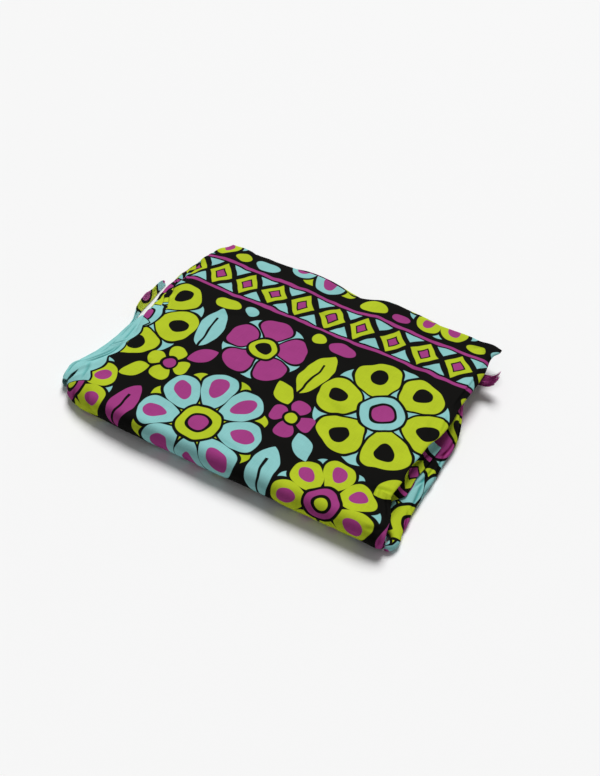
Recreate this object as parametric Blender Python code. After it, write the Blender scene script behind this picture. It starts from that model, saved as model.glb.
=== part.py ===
"""A sarong folded flat into a stack, with its print outside.

Lengths are in millimetres, and each mesh is scaled to metres as it is made.
X runs along the long side of the stack, Y from the rolled front edge to the back, and Z up.
The origin is on the floor under the middle of the stack.
"""
import bpy
import math
import numpy as np

METRES = 0.001

# The stack
STACK_HEIGHT = 20.0
WALL = 1.2               # one ply that shows, with its loft
THIN_WALL = 1.0          # a ply that shows only at its edge
FACET_GAP = 0.8          # room between two curved faces whose facets differ
PLY_GAP = 0.5            # room between two curved plies with like facets
INNER_LEFT = -105.0      # the smooth middle of the top ply starts here
INNER_FRONT = -70.0
BACK_LINE = 104.0

# How finely the cloth is divided
TOP_COLUMNS = 26
TOP_ROWS = 18
CORE_COLUMNS = 18
CORE_ROWS = 14
LEFT_FOLD_LINES = 27
LOWER_FOLD_LINES = 30
SIDE_FOLD_LINES = 14

# The front roll
ROLL_HALF_WIDTH = 10.5
ROLL_LEAD = (34.0, 26.0, 18.0)       # flat stretch before the roll, inward from the front line
ROLL_TUCK = (15.0, 19.0)             # flat stretch under the stack
ROLL_TUCK_AT_END = (12.2, 13.6)      # and at the roll's right end
ROLL_STEPS = 8
ROUNDED_PART = 20.0                  # this much of a section keeps its size, and the rest may shrink
LONGEST_SHARE = 0.88                 # the most of the way to the inner point that a section may take
LIFT_PROBE = 0.3                     # a section takes the height of the top this share of the way inward

# Right edge of the top ply: y, x
RIGHT_EDGE = (
    (-104.0, 124.0),
    (-71.0, 116.0),
    (-56.0, 117.0),
    (-41.0, 116.4),
    (-30.0, 118.4),
    (-18.0, 119.6),
    (-4.0, 123.4),
    (16.0, 125.2),
    (31.0, 124.2),
    (49.0, 124.2),
    (63.0, 125.0),
    (78.0, 123.8),
    (88.0, 124.4),
    (94.0, 126.2),
    (99.0, 129.2),
    (105.0, 130.2),
)

# Back edge of the top ply: x, y
BACK_EDGE = (
    (-140.0, 104.0),
    (-114.0, 106.5),
    (-80.0, 105.0),
    (-50.0, 105.6),
    (-20.0, 104.6),
    (0.0, 103.8),
    (28.0, 105.8),
    (50.0, 105.4),
    (80.0, 104.4),
    (110.0, 105.2),
    (130.0, 104.2),
)

# Soft ridges and troughs of the top: x, y, turn in degrees, half length, half width, height
TOP_WAVES = (
    (-43.0, 108.0, 88.0, 52.0, 22.0, 1.6),
    (-4.0, 108.0, 94.0, 46.0, 17.0, -3.0),
    (29.0, 108.0, 84.0, 58.0, 15.0, 2.6),
    (84.0, 106.0, 100.0, 40.0, 22.0, -0.7),
    (130.0, 104.0, 40.0, 46.0, 30.0, -1.3),
    (-112.0, 100.0, 60.0, 30.0, 16.0, 1.0),
    (-70.0, -20.0, 15.0, 60.0, 34.0, 0.7),
    (60.0, -40.0, -10.0, 55.0, 30.0, 0.6),
    (10.0, 30.0, 80.0, 50.0, 24.0, -0.7),
)

# The top ply bends down over the right end of the front roll
END_FALL = 9.0
END_FALL_START = 106.0
END_FALL_REACH = 19.0
END_FALL_LINE = (-70.0, -78.0)
END_BULGE = 5.0                      # it also bulges to the right there, most at the top

# The pleats stand higher towards the back
BACK_LEFT_RISE = 0.1

# Outermost line of the top ply down its left side: inner y, x, y
TOP_LEFT_LINE = (
    (104.0, -142.5, 108.0),
    (88.0, -151.0, 92.0),
    (68.0, -157.0, 71.0),
    (45.0, -158.8, 47.0),
    (26.0, -157.6, 27.0),
    (14.0, -152.5, 15.0),
    (0.0, -144.0, 0.0),
    (-14.0, -138.6, -16.0),
    (-30.0, -136.5, -36.0),
    (-44.0, -139.0, -56.0),
    (-56.0, -147.0, -73.0),
    (-64.0, -152.6, -87.0),
    (-70.0, -154.0, -97.0),
)

# The same along its front: inner x, x, y
TOP_FRONT_LINE = (
    (-105.0, -154.0, -97.0),
    (-97.0, -147.0, -104.2),
    (-88.0, -135.6, -108.6),
    (-76.0, -119.0, -110.6),
    (-60.0, -97.0, -110.6),
    (-36.0, -62.0, -109.8),
    (0.0, -12.0, -108.4),
    (40.0, 35.0, -106.8),
    (80.0, 79.0, -105.4),
    (116.0, 124.0, -103.6),
)

# Sections over an edge, each row inward from the outermost line and height
PLEAT_ROWS = (
    (32.0, 20.0),
    (27.0, 20.0),
    (22.0, 19.5),
    (17.0, 17.9),
    (14.3, 15.6),
    (11.6, 16.1),
    (9.2, 13.1),
    (6.9, 13.4),
    (4.8, 10.8),
    (2.6, 11.1),
    (0.8, 9.8),
    (0.0, 8.3),
    (0.9, 6.9),
    (2.8, 6.6),
)
LIP_ROWS = (
    (30.0, 20.0),
    (22.0, 20.0),
    (16.0, 19.8),
    (11.0, 19.5),
    (7.6, 19.0),
    (5.2, 18.3),
    (3.4, 17.5),
    (2.1, 16.6),
    (1.2, 15.8),
    (0.6, 15.1),
    (0.2, 14.4),
    (0.0, 13.8),
    (0.0, 13.2),
    (0.1, 12.6),
)
CORNER_ROWS = (
    (34.0, 20.0),
    (26.0, 20.4),
    (19.0, 20.0),
    (13.0, 18.6),
    (9.0, 16.9),
    (5.5, 14.5),
    (2.5, 11.8),
    (0.8, 9.0),
    (0.0, 6.8),
    (0.5, 4.6),
    (2.0, 2.6),
    (4.5, 1.0),
    (8.0, 0.0),
    (11.0, 0.0),
)

# Left fold, which lies under the lip of the top ply: y, nose x, share sunk, share of width, share of height
LEFT_NOSE = (
    (-95.5, -161.0, 0.0, 0.26, 0.8),
    (-88.0, -165.2, 0.0, 0.46, 0.94),
    (-79.0, -166.4, 0.0, 0.64, 1.0),
    (-66.0, -163.0, 0.0, 0.9, 1.0),
    (-52.0, -159.4, 0.0, 1.0, 1.0),
    (-35.0, -157.8, 0.0, 1.0, 1.0),
    (-14.0, -157.0, 0.0, 1.0, 1.0),
    (-4.0, -155.6, 0.1, 1.0, 1.0),
    (4.0, -154.0, 0.6, 1.0, 1.0),
    (12.0, -152.6, 1.0, 1.0, 1.0),
    (30.0, -152.0, 1.0, 1.0, 1.0),
    (60.0, -152.0, 1.0, 1.0, 1.0),
    (84.0, -148.0, 1.0, 0.9, 1.0),
)
LEFT_FOLD_HIGH = (
    (22.5, 12.2),
    (18.5, 12.3),
    (13.5, 12.0),
    (8.5, 10.8),
    (4.0, 8.8),
    (1.1, 6.6),
    (0.0, 4.4),
    (0.7, 2.2),
    (2.8, 0.6),
    (5.6, 0.0),
    (9.0, 0.0),
    (12.0, 0.0),
)
LEFT_FOLD_LOW = (
    (15.0, 5.5),
    (12.5, 5.6),
    (10.0, 5.6),
    (7.0, 5.3),
    (3.8, 4.8),
    (1.2, 3.8),
    (0.0, 2.7),
    (0.6, 1.3),
    (2.4, 0.3),
    (4.6, 0.0),
    (7.0, 0.0),
    (9.0, 0.0),
)

# Loose leaf that stands off the left side: foot x, foot y, top x, top y, top z
LOOSE_LEAF = (
    (-157.1, -16.5, -157.1, -16.0, 5.6),
    (-158.0, -11.0, -157.8, -10.2, 6.5),
    (-160.2, -4.0, -161.0, -2.5, 8.4),
    (-161.8, 5.0, -163.6, 6.5, 10.2),
    (-162.8, 15.0, -165.8, 16.5, 11.4),
    (-163.2, 25.0, -167.4, 26.0, 12.0),
    (-162.6, 34.0, -167.4, 35.0, 12.0),
    (-161.4, 41.0, -165.4, 41.5, 11.6),
    (-160.9, 45.5, -162.0, 46.0, 10.6),
)
LOOSE_LEAF_STEPS = 5
LOOSE_LEAF_BOW = 1.6
LOOSE_LEAF_FOOT = 0.75               # the foot leans, and so high up its rim just meets the floor

# Lower fold on the right side: y, nose x, bulge share, curl share
RIGHT_NOSE = (
    (-99.5, 131.0, 0.0, 1.0),
    (-95.0, 132.6, 0.0, 1.0),
    (-90.5, 133.7, 0.0, 1.0),
    (-84.0, 132.6, 0.0, 0.0),
    (-76.0, 131.8, 0.0, 0.0),
    (-59.0, 131.0, 0.0, 0.0),
    (-45.0, 131.4, 0.0, 0.0),
    (-32.0, 132.6, 0.0, 0.0),
    (-17.0, 132.0, 0.0, 0.0),
    (-6.0, 132.8, 0.0, 0.0),
    (6.0, 133.2, 0.3, 0.0),
    (17.0, 131.4, 0.9, 0.0),
    (30.0, 127.8, 1.0, 0.0),
    (40.0, 124.2, 1.0, 0.0),
    (49.0, 121.6, 1.0, 0.0),
)
LEDGE_ROWS = (
    (20.0, 0.0),
    (14.0, 0.0),
    (8.0, 0.0),
    (3.8, 0.3),
    (1.2, 1.3),
    (0.0, 3.1),
    (0.7, 4.9),
    (2.6, 6.1),
    (5.4, 6.8),
    (8.6, 7.1),
    (11.4, 7.2),
    (13.6, 7.2),
    (15.4, 7.1),
)
BULGE_ROWS = (
    (9.6, 0.0),
    (7.6, 0.0),
    (5.2, 0.0),
    (2.8, 0.6),
    (0.9, 2.4),
    (0.0, 5.2),
    (0.2, 8.2),
    (1.1, 10.9),
    (2.5, 13.0),
    (4.2, 14.5),
    (6.0, 15.5),
    (7.6, 15.9),
    (9.0, 16.0),
)
CURL_ROWS = (
    (6.2, 0.3),
    (5.2, 0.0),
    (3.9, 0.0),
    (2.3, 0.4),
    (0.8, 1.4),
    (0.0, 3.1),
    (0.5, 4.9),
    (1.8, 6.1),
    (3.3, 6.5),
    (4.8, 6.3),
    (5.9, 5.6),
    (6.5, 4.8),
    (6.6, 4.0),
)

# Inner fold in the shade of the top ply on the right side: y, x
SIDE_FOLD_LINE = (
    (-69.0, 116.8),
    (-56.0, 117.6),
    (-41.0, 117.2),
    (-30.0, 118.8),
    (-18.0, 120.0),
    (-6.0, 121.4),
)
SIDE_FOLD_ROWS = (
    (9.0, 17.3),
    (5.0, 17.3),
    (2.2, 16.9),
    (0.7, 15.7),
    (0.1, 14.2),
    (0.0, 12.7),
    (-0.7, 11.3),
    (-1.9, 10.1),
    (-3.2, 9.3),
    (-4.6, 8.8),
)

# Second ply, which peeks out behind the back edge of the top ply: x, how far it peeks
SECOND_PLY_PEEK = (
    (-98.0, 1.4),
    (-86.0, -0.6),
    (-70.0, 0.6),
    (-52.0, 3.0),
    (-30.0, 3.2),
    (-8.0, 2.4),
    (12.0, -0.8),
    (34.0, 2.0),
    (56.0, 2.6),
    (80.0, 0.4),
    (106.0, 1.2),
)
SECOND_PLY_FRONT = 84.0
SECOND_PLY_COLUMNS = 26
SECOND_PLY_ROWS = 4

# Ply that lies on the floor
UNDER_LEFT = -133.0
UNDER_RIGHT = 110.0
UNDER_FRONT = -81.0
UNDER_BACK = 99.0
UNDER_CORNER = 10.0
UNDER_CORNER_STEPS = 4

# Outermost line of the hidden layers: inner y or x, x, y, section
CORE_LEFT = -98.0
CORE_RIGHT = 92.0
CORE_FRONT = -68.0
CORE_BACK = 80.0
CORE_FLOOR = 1.6
CORE_LEFT_LINE = (
    (80.0, -118.0, 94.0, "layers"),
    (72.0, -137.0, 80.0, "overhang"),
    (52.0, -148.6, 58.0, "overhang"),
    (30.0, -150.4, 32.0, "overhang"),
    (17.0, -129.5, 17.0, "overhang"),
    (6.5, -129.5, 6.0, "plain"),
    (-4.0, -129.5, -5.0, "plain"),
    (-14.5, -129.5, -17.0, "plain"),
    (-25.0, -153.4, -31.0, "shelf"),
    (-36.0, -154.2, -45.0, "shelf"),
    (-46.5, -131.5, -62.0, "plain"),
    (-57.0, -133.0, -76.0, "plain"),
    (-68.0, -147.0, -92.0, "corner"),
)
CORE_FRONT_LINE = (
    (-98.0, -147.0, -92.0, "corner"),
    (-90.0, -142.0, -101.0, "corner"),
    (-80.0, -131.0, -105.6, "corner"),
    (-68.0, -115.0, -108.0, "corner"),
    (-54.0, -96.0, -108.6, "roll"),
    (-24.0, -52.0, -108.0, "roll"),
    (10.0, -4.0, -106.6, "roll"),
    (50.0, 48.0, -104.8, "roll"),
    (80.0, 96.0, -103.0, "roll"),
    (92.0, 116.0, -101.4, "roll"),
)
CORE_RIGHT_LINE = (
    (-68.0, 116.0, -101.4, "roll"),
    (-62.0, 113.2, -86.0, "side"),
    (-52.0, 114.4, -66.0, "side"),
    (-30.0, 114.6, -36.0, "side"),
    (-12.0, 115.4, -14.0, "side"),
    (2.0, 114.0, 4.0, "side"),
    (20.0, 110.6, 22.0, "plain"),
    (36.0, 110.6, 40.0, "plain"),
    (46.0, 112.0, 52.0, "recess"),
    (58.0, 119.0, 64.0, "recess"),
    (72.0, 119.6, 82.0, "recess"),
    (80.0, 118.0, 96.0, "recess"),
)
CORE_BACK_LINE = (
    (92.0, 118.0, 96.0, "recess"),
    (84.0, 106.0, 100.4, "layers"),
    (60.0, 72.0, 101.4, "layers"),
    (20.0, 24.0, 102.0, "layers"),
    (-10.0, -12.0, 101.2, "layers"),
    (-50.0, -60.0, 102.0, "layers"),
    (-84.0, -112.0, 101.6, "layers"),
    (-98.0, -118.0, 94.0, "layers"),
)
CORE_LAYERS = 6
LAYERS_TOP = 16.6                    # height of the uppermost hidden layer where the edges show
LAYER_NOTCH = 1.9                    # how far in the cloth goes between two layers
RECESS_AT_FLOOR = 7.0                # the back right corner is hollowed under its tip by this much
CORE_ROLL_HALF_WIDTH = 8.6
CORE_ROLL_TOP = 18.0
CORE_ROLL_LIFT = 0.2
CORE_ROLL_LEAD = (23.0, 16.0)
CORE_ROLL_TUCK = (13.0, 19.0)
ROOM_AT_SECOND_PLY = (16.0, 5.0)     # the hidden layers sink over this stretch in front of the second ply
CORE_SECTIONS = {
    "overhang": (
        (32.0, 18.0), (24.0, 17.6), (18.0, 16.6), (13.4, 14.8), (9.6, 13.2), (5.6, 11.2), (2.2, 9.6),
        (0.6, 8.7), (0.4, 7.9), (1.6, 7.1), (6.0, 6.8), (19.6, 6.6), (20.4, 1.6),
    ),
    "shelf": (
        (30.0, 17.6), (26.6, 16.8), (25.2, 15.2), (24.6, 13.4), (24.4, 11.4), (22.6, 10.2), (17.0, 10.2),
        (11.0, 9.6), (6.5, 8.3), (3.0, 6.6), (1.0, 5.0), (1.0, 3.4), (4.6, 2.0),
    ),
    "plain": (
        (7.0, 18.0), (3.4, 17.4), (1.4, 16.2), (0.4, 14.4), (0.0, 12.4), (0.0, 10.6), (0.0, 8.8),
        (0.0, 7.0), (0.0, 5.4), (0.3, 4.0), (1.1, 2.8), (2.8, 1.9), (6.0, 1.6),
    ),
    "corner": (
        (30.0, 18.0), (22.0, 18.0), (15.0, 17.2), (10.0, 15.5), (6.5, 13.5), (3.6, 11.2), (1.4, 9.0),
        (0.3, 7.6), (0.0, 6.4), (0.8, 5.0), (2.8, 3.8), (6.0, 2.6), (10.0, 1.9),
    ),
    "side": (
        (9.0, 15.4), (5.0, 15.2), (2.4, 14.6), (0.9, 13.4), (0.3, 12.0), (0.0, 10.6), (0.0, 9.4),
        (0.8, 8.4), (2.0, 7.2), (2.4, 6.0), (2.6, 4.4), (3.2, 2.8), (5.4, 1.6),
    ),
}

# Fringe tuft at the hem's end on the right side
TUFT_ROOT_CENTRE = (123.4, 71.0, 13.2)
TUFT_ROOT_SIZE = (7.4, 11.0, 4.0)
TUFT_ROWS = 3
TUFT_COLUMNS = 7
STRAND_RISE = 1.3                    # from one row of strands to the next
STRAND_HALF_WIDTH = 0.55
STRAND_STEPS = 6
STRAND_SUNK = 1.4                    # a strand starts this far inside the strip at its root
TUFT_MARGIN = 1.6
TUFT_LENGTH = 15.0
TUFT_SIDE_SWEEP = 9.0
TUFT_CURL = 4.2
TUFT_SAG = 1.6

# Colours of the print, as linear values
LIME = (0.48, 0.62, 0.035)
MAGENTA = (0.38, 0.045, 0.24)
CYAN = (0.29, 0.66, 0.66)
BLACK = (0.006, 0.006, 0.005)


def clear_scene():
    for item in list(bpy.data.objects):
        bpy.data.objects.remove(item, do_unlink=True)


def smoothstep(low, high, value):
    share = min(max((value - low) / (high - low), 0.0), 1.0)
    return share * share * (3.0 - 2.0 * share)


def read_row(rows, at):
    """Read the columns after the first at a key, along a smooth curve that never overshoots."""
    table = np.array([[value for value in row if not isinstance(value, str)] for row in rows])
    if table[0, 0] > table[-1, 0]:
        table = table[::-1]
    keys = table[:, 0]
    values = table[:, 1:]
    at = min(max(at, keys[0]), keys[-1])
    index = min(max(int(np.searchsorted(keys, at)) - 1, 0), len(keys) - 2)
    steps = (values[1:] - values[:-1]) / (keys[1:] - keys[:-1])[:, None]
    slopes = []
    for point in (index, index + 1):
        before = steps[max(point - 1, 0)]
        after = steps[min(point, len(steps) - 1)]
        same_way = before * after > 0.0
        total = np.where(same_way, before + after, 1.0)
        slopes.append(np.where(same_way, 2.0 * before * after / total, 0.0))
    span = keys[index + 1] - keys[index]
    share = (at - keys[index]) / span
    start_weight = 2.0 * share ** 3 - 3.0 * share ** 2 + 1.0
    start_slope = share ** 3 - 2.0 * share ** 2 + share
    end_slope = share ** 3 - share ** 2
    return (start_weight * values[index] + (1.0 - start_weight) * values[index + 1]
            + span * (start_slope * slopes[0] + end_slope * slopes[1]))


def top_height(x, y):
    """Height of the top ply's outer face, with its soft waves."""
    height = STACK_HEIGHT
    for wave_x, wave_y, turn, half_length, half_width, rise in TOP_WAVES:
        cosine = math.cos(math.radians(turn))
        sine = math.sin(math.radians(turn))
        along = (x - wave_x) * cosine + (y - wave_y) * sine
        across = (y - wave_y) * cosine - (x - wave_x) * sine
        height += rise * math.exp(-(along / half_length) ** 2 - (across / half_width) ** 2)
    in_end = smoothstep(END_FALL_LINE[0], END_FALL_LINE[1], y)
    fall = max(x - END_FALL_START, 0.0) / END_FALL_REACH
    return height - END_FALL * in_end * fall ** 1.7


def right_edge(y):
    return float(read_row(RIGHT_EDGE, y)[0])


def back_edge(x):
    return float(read_row(BACK_EDGE, x)[0])


def roll_rows(half_width, low, high, lead, tuck):
    """Section of a half round roll, with a flat lead above it and a flat tuck below it."""
    middle = (low + high) / 2.0
    half_height = (high - low) / 2.0
    rows = [(inward, high) for inward in lead]
    for step in range(ROLL_STEPS + 1):
        angle = math.pi / 2.0 - math.pi * step / ROLL_STEPS
        rows.append((half_width * (1.0 - math.cos(angle)), middle + half_height * math.sin(angle)))
    rows += [(inward, low) for inward in tuck]
    return rows


def mix_rows(first, second, share):
    return [tuple(np.array(a) * (1.0 - share) + np.array(b) * share) for a, b in zip(first, second)]


def over_edge(inner, outer, rows, lift=1.0):
    """Points of a section, each an inward distance from the outer point towards the inner one."""
    inner = np.array(inner[:2])
    outer = np.array(outer[:2])
    reach = np.linalg.norm(inner - outer)
    inward = (inner - outer) / reach
    limit = LONGEST_SHARE * reach
    squeeze = 1.0
    if rows[0][0] > limit:
        squeeze = (limit - ROUNDED_PART) / (rows[0][0] - ROUNDED_PART)
    points = []
    for distance, height in rows:
        if distance > ROUNDED_PART:
            distance = ROUNDED_PART + (distance - ROUNDED_PART) * squeeze
        points.append((*(outer + inward * distance), height * lift))
    return points


def new_material(name, colour, roughness=0.85):
    material = bpy.data.materials.new(name)
    material.use_nodes = True
    shader = material.node_tree.nodes["Principled BSDF"]
    shader.inputs["Base Color"].default_value = (*colour, 1.0)
    shader.inputs["Roughness"].default_value = roughness
    shader.inputs["Metallic"].default_value = 0.0
    return material


def new_object(name, points, faces, colour):
    mesh = bpy.data.meshes.new(name)
    mesh.from_pydata([tuple(METRES * value for value in point) for point in points], [], faces)
    mesh.validate()
    mesh.shade_smooth()
    mesh.materials.append(new_material(name + "_cloth", colour))
    item = bpy.data.objects.new(name, mesh)
    bpy.context.scene.collection.objects.link(item)
    return item


def add_wall(item, thickness):
    """Turn a sheet that shows its outer face into a closed wall behind that face."""
    solidify = item.modifiers.new("Wall", "SOLIDIFY")
    solidify.thickness = thickness * METRES
    solidify.offset = -1.0
    return item


def grid_faces(index, flip=False):
    """Quads over a two-dimensional table of vertex numbers."""
    faces = []
    for row in range(len(index) - 1):
        for column in range(len(index[0]) - 1):
            face = (index[row][column], index[row][column + 1],
                    index[row + 1][column + 1], index[row + 1][column])
            faces.append(face[::-1] if flip else face)
    return faces


def sheet(name, rows_of_points, thickness, colour, flip=False):
    """A wall over rows of points, its outer face on the side given by their order."""
    columns = len(rows_of_points[0])
    points = [point for row in rows_of_points for point in row]
    index = [[row * columns + column for column in range(columns)] for row in range(len(rows_of_points))]
    return add_wall(new_object(name, points, grid_faces(index, flip), colour), thickness)


def left_section(inner_y):
    pleated = smoothstep(-2.0, 14.0, inner_y)
    rows = mix_rows(LIP_ROWS, PLEAT_ROWS, pleated)
    return mix_rows(rows, CORNER_ROWS, smoothstep(-61.0, -69.0, inner_y))


def front_section(inner_x):
    near_end = smoothstep(90.0, RIGHT_EDGE[1][1], inner_x)
    tuck = [whole + (short - whole) * near_end for whole, short in zip(ROLL_TUCK, ROLL_TUCK_AT_END)]
    roll = roll_rows(ROLL_HALF_WIDTH, 0.0, STACK_HEIGHT, ROLL_LEAD, tuck)
    return mix_rows(CORNER_ROWS, roll, smoothstep(-92.0, -60.0, inner_x))


def build_top_stretch():
    """Top ply: the smooth middle, the front roll and its tuck, and the pleated left side."""
    grid = []
    for row in range(TOP_ROWS + 1):
        share_y = row / TOP_ROWS
        line_y = INNER_FRONT + (BACK_LINE - INNER_FRONT) * share_y
        for column in range(TOP_COLUMNS + 1):
            x = INNER_LEFT + (right_edge(line_y) - INNER_LEFT) * column / TOP_COLUMNS
            y = INNER_FRONT + (back_edge(x) - INNER_FRONT) * share_y
            grid.append((x, y, top_height(x, y)))
    width = TOP_COLUMNS + 1
    index = [[row * width + column for column in range(width)] for row in range(TOP_ROWS + 1)]
    faces = grid_faces(index)

    border = [row * width for row in range(TOP_ROWS, 0, -1)] + list(range(width))
    points = list(grid)
    lines = []
    for place, vertex in enumerate(border):
        inner = grid[vertex]
        if place < TOP_ROWS:
            x, y = read_row(TOP_LEFT_LINE, inner[1])
            rows = left_section(inner[1])
        else:
            x, y = read_row(TOP_FRONT_LINE, inner[0])
            rows = front_section(inner[0])
        near_x = x + LIFT_PROBE * (inner[0] - x)
        near_y = y + LIFT_PROBE * (inner[1] - y)
        lift = top_height(near_x, near_y) / STACK_HEIGHT
        lift *= 1.0 + BACK_LEFT_RISE * smoothstep(60.0, BACK_LINE, inner[1])
        section = over_edge(inner, (x, y), rows, lift)
        near_end = smoothstep(END_FALL_START - 8.0, RIGHT_EDGE[0][1], x)
        section = [(x + END_BULGE * near_end * (z / STACK_HEIGHT), y, z) for x, y, z in section]
        lines.append([vertex] + list(range(len(points), len(points) + len(section))))
        points += section
    faces += grid_faces(lines)
    return add_wall(new_object("top_stretch", points, faces, LIME), WALL)


def build_left_fold():
    """Fold that lies under the lip of the top ply and bulges out on the left."""
    lines = []
    for y in np.linspace(LEFT_NOSE[0][0], LEFT_NOSE[-1][0], LEFT_FOLD_LINES):
        nose, sunk, width, height = read_row(LEFT_NOSE, y)
        rows = mix_rows(LEFT_FOLD_HIGH, LEFT_FOLD_LOW, min(max(sunk, 0.0), 1.0))
        rows = [(inward * width, z * height) for inward, z in rows]
        lines.append(over_edge((0.0, y), (nose, y), rows))
    return sheet("left_fold", lines, WALL, CYAN, flip=True)


def build_loose_leaf():
    """Thin leaf that stands off the left side, with a gap that one can see through."""
    lines = []
    for foot_x, foot_y, top_x, top_y, top_z in LOOSE_LEAF:
        line = []
        for step in range(LOOSE_LEAF_STEPS + 1):
            share = step / LOOSE_LEAF_STEPS
            bow = LOOSE_LEAF_BOW * math.sin(math.pi * share)
            line.append((foot_x + (top_x - foot_x) * share - bow * (1.0 - share),
                         foot_y + (top_y - foot_y) * share,
                         LOOSE_LEAF_FOOT + (top_z - LOOSE_LEAF_FOOT) * share))
        lines.append(line)
    return sheet("loose_leaf", lines, WALL, CYAN, flip=True)


def build_lower_fold():
    """Fold at the foot of the right side: a lit ledge, a high bulge behind and a curled front end."""
    lines = []
    for y in np.linspace(RIGHT_NOSE[0][0], RIGHT_NOSE[-1][0], LOWER_FOLD_LINES):
        nose, bulge, curl = read_row(RIGHT_NOSE, y)
        rows = mix_rows(LEDGE_ROWS, BULGE_ROWS, min(max(bulge, 0.0), 1.0))
        rows = mix_rows(rows, CURL_ROWS, min(max(curl, 0.0), 1.0))
        lines.append(over_edge((0.0, y), (nose, y), rows))
    return sheet("lower_fold", lines, WALL, LIME, flip=True)


def build_side_fold():
    """Inner fold in the shade between the top ply and the lower fold."""
    lines = []
    for y in np.linspace(SIDE_FOLD_LINE[0][0], SIDE_FOLD_LINE[-1][0], SIDE_FOLD_LINES):
        line_x = float(read_row(SIDE_FOLD_LINE, y)[0])
        lines.append(over_edge((0.0, y), (line_x, y), SIDE_FOLD_ROWS))
    return sheet("side_fold", lines, WALL, MAGENTA)


def build_second_ply():
    """Ply under the top one, seen as slivers behind its back edge."""
    lines = []
    first = SECOND_PLY_PEEK[0][0]
    last = SECOND_PLY_PEEK[-1][0]
    for x in np.linspace(first, last, SECOND_PLY_COLUMNS + 1):
        back = back_edge(x) + float(read_row(SECOND_PLY_PEEK, x)[0])
        line = []
        for step in range(SECOND_PLY_ROWS + 1):
            y = SECOND_PLY_FRONT + (back - SECOND_PLY_FRONT) * step / SECOND_PLY_ROWS
            line.append((x, y, top_height(x, y) - WALL - PLY_GAP))
        lines.append(line)
    return sheet("second_ply", lines, THIN_WALL, MAGENTA, flip=True)


def build_under_stretch():
    """Ply that lies flat on the floor, a plate with rounded corners."""
    outline = []
    corners = (
        (UNDER_RIGHT - UNDER_CORNER, UNDER_BACK - UNDER_CORNER, 0.0),
        (UNDER_LEFT + UNDER_CORNER, UNDER_BACK - UNDER_CORNER, 90.0),
        (UNDER_LEFT + UNDER_CORNER, UNDER_FRONT + UNDER_CORNER, 180.0),
        (UNDER_RIGHT - UNDER_CORNER, UNDER_FRONT + UNDER_CORNER, 270.0),
    )
    for centre_x, centre_y, start in corners:
        for step in range(UNDER_CORNER_STEPS + 1):
            angle = math.radians(start + 90.0 * step / UNDER_CORNER_STEPS)
            outline.append((centre_x + UNDER_CORNER * math.cos(angle),
                            centre_y + UNDER_CORNER * math.sin(angle)))
    count = len(outline)
    points = [(x, y, WALL) for x, y in outline] + [(x, y, 0.0) for x, y in outline]
    faces = [tuple(range(count)), tuple(range(2 * count - 1, count - 1, -1))]
    for place in range(count):
        after = (place + 1) % count
        faces.append((place, count + place, count + after, after))
    return new_object("under_stretch", points, faces, BLACK)


def layer_rows(recess):
    """Section of a side where the edges of the hidden layers show."""
    rows = []
    steps = 2 * CORE_LAYERS
    for step in range(steps + 1):
        share = step / steps
        notch = LAYER_NOTCH if step % 2 == 0 else 0.0
        rows.append((notch + recess * share, LAYERS_TOP + (CORE_FLOOR - LAYERS_TOP) * share))
    return rows


def core_section(name):
    if name == "layers":
        return layer_rows(0.0)
    if name == "recess":
        return layer_rows(RECESS_AT_FLOOR)
    if name == "roll":
        return roll_rows(CORE_ROLL_HALF_WIDTH, CORE_FLOOR + CORE_ROLL_LIFT, CORE_ROLL_TOP,
                         CORE_ROLL_LEAD, CORE_ROLL_TUCK)
    return CORE_SECTIONS[name]


def core_rows(line, at):
    """Mix the sections of the two table rows around a key."""
    rows = sorted(line, key=lambda row: row[0])
    at = min(max(at, rows[0][0]), rows[-1][0])
    for before, after in zip(rows, rows[1:]):
        if at <= after[0]:
            share = smoothstep(before[0], after[0], at)
            return mix_rows(core_section(before[3]), core_section(after[3]), share)
    return core_section(rows[-1][3])


def core_top(x, y):
    """Top of the hidden layers, lower at the back to leave room for the second ply."""
    under_second = WALL + PLY_GAP + THIN_WALL + FACET_GAP
    under_first = WALL + FACET_GAP
    start, end = ROOM_AT_SECOND_PLY
    share = smoothstep(SECOND_PLY_FRONT - start, SECOND_PLY_FRONT - end, y)
    return top_height(x, y) - under_first - (under_second - under_first) * share


def build_hidden_layers():
    """All the layers inside the stack as one rounded solid, notched where their edges show."""
    xs = np.linspace(CORE_LEFT, CORE_RIGHT, CORE_COLUMNS + 1)
    ys = np.linspace(CORE_FRONT, CORE_BACK, CORE_ROWS + 1)
    width = CORE_COLUMNS + 1
    height = CORE_ROWS + 1
    points = [(x, y, core_top(x, y)) for y in ys for x in xs]
    under = len(points)
    points += [(x, y, CORE_FLOOR) for y in ys for x in xs]
    top_index = [[row * width + column for column in range(width)] for row in range(height)]
    under_index = [[under + number for number in row] for row in top_index]
    faces = grid_faces(top_index) + grid_faces(under_index, flip=True)

    loop = [(CORE_LEFT_LINE, 1, row * width) for row in range(height - 1, 0, -1)]
    loop += [(CORE_FRONT_LINE, 0, column) for column in range(width - 1)]
    loop += [(CORE_RIGHT_LINE, 1, row * width + width - 1) for row in range(height - 1)]
    loop += [(CORE_BACK_LINE, 0, (height - 1) * width + column) for column in range(width - 1, 0, -1)]
    lines = []
    for line, axis, vertex in loop:
        inner = points[vertex]
        outer = read_row(line, inner[axis])
        lift = min(core_top(outer[0], outer[1]) / (STACK_HEIGHT - WALL - FACET_GAP), 1.0)
        rows = core_rows(line, inner[axis])
        section = over_edge(inner, outer, rows)
        section = [(x, y, CORE_FLOOR + (z - CORE_FLOOR) * lift) for x, y, z in section]
        lines.append([vertex] + list(range(len(points), len(points) + len(section))) + [under + vertex])
        points += section
    lines.append(lines[0])
    faces += grid_faces(lines)
    return new_object("hidden_layers", points, faces, BLACK)


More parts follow.
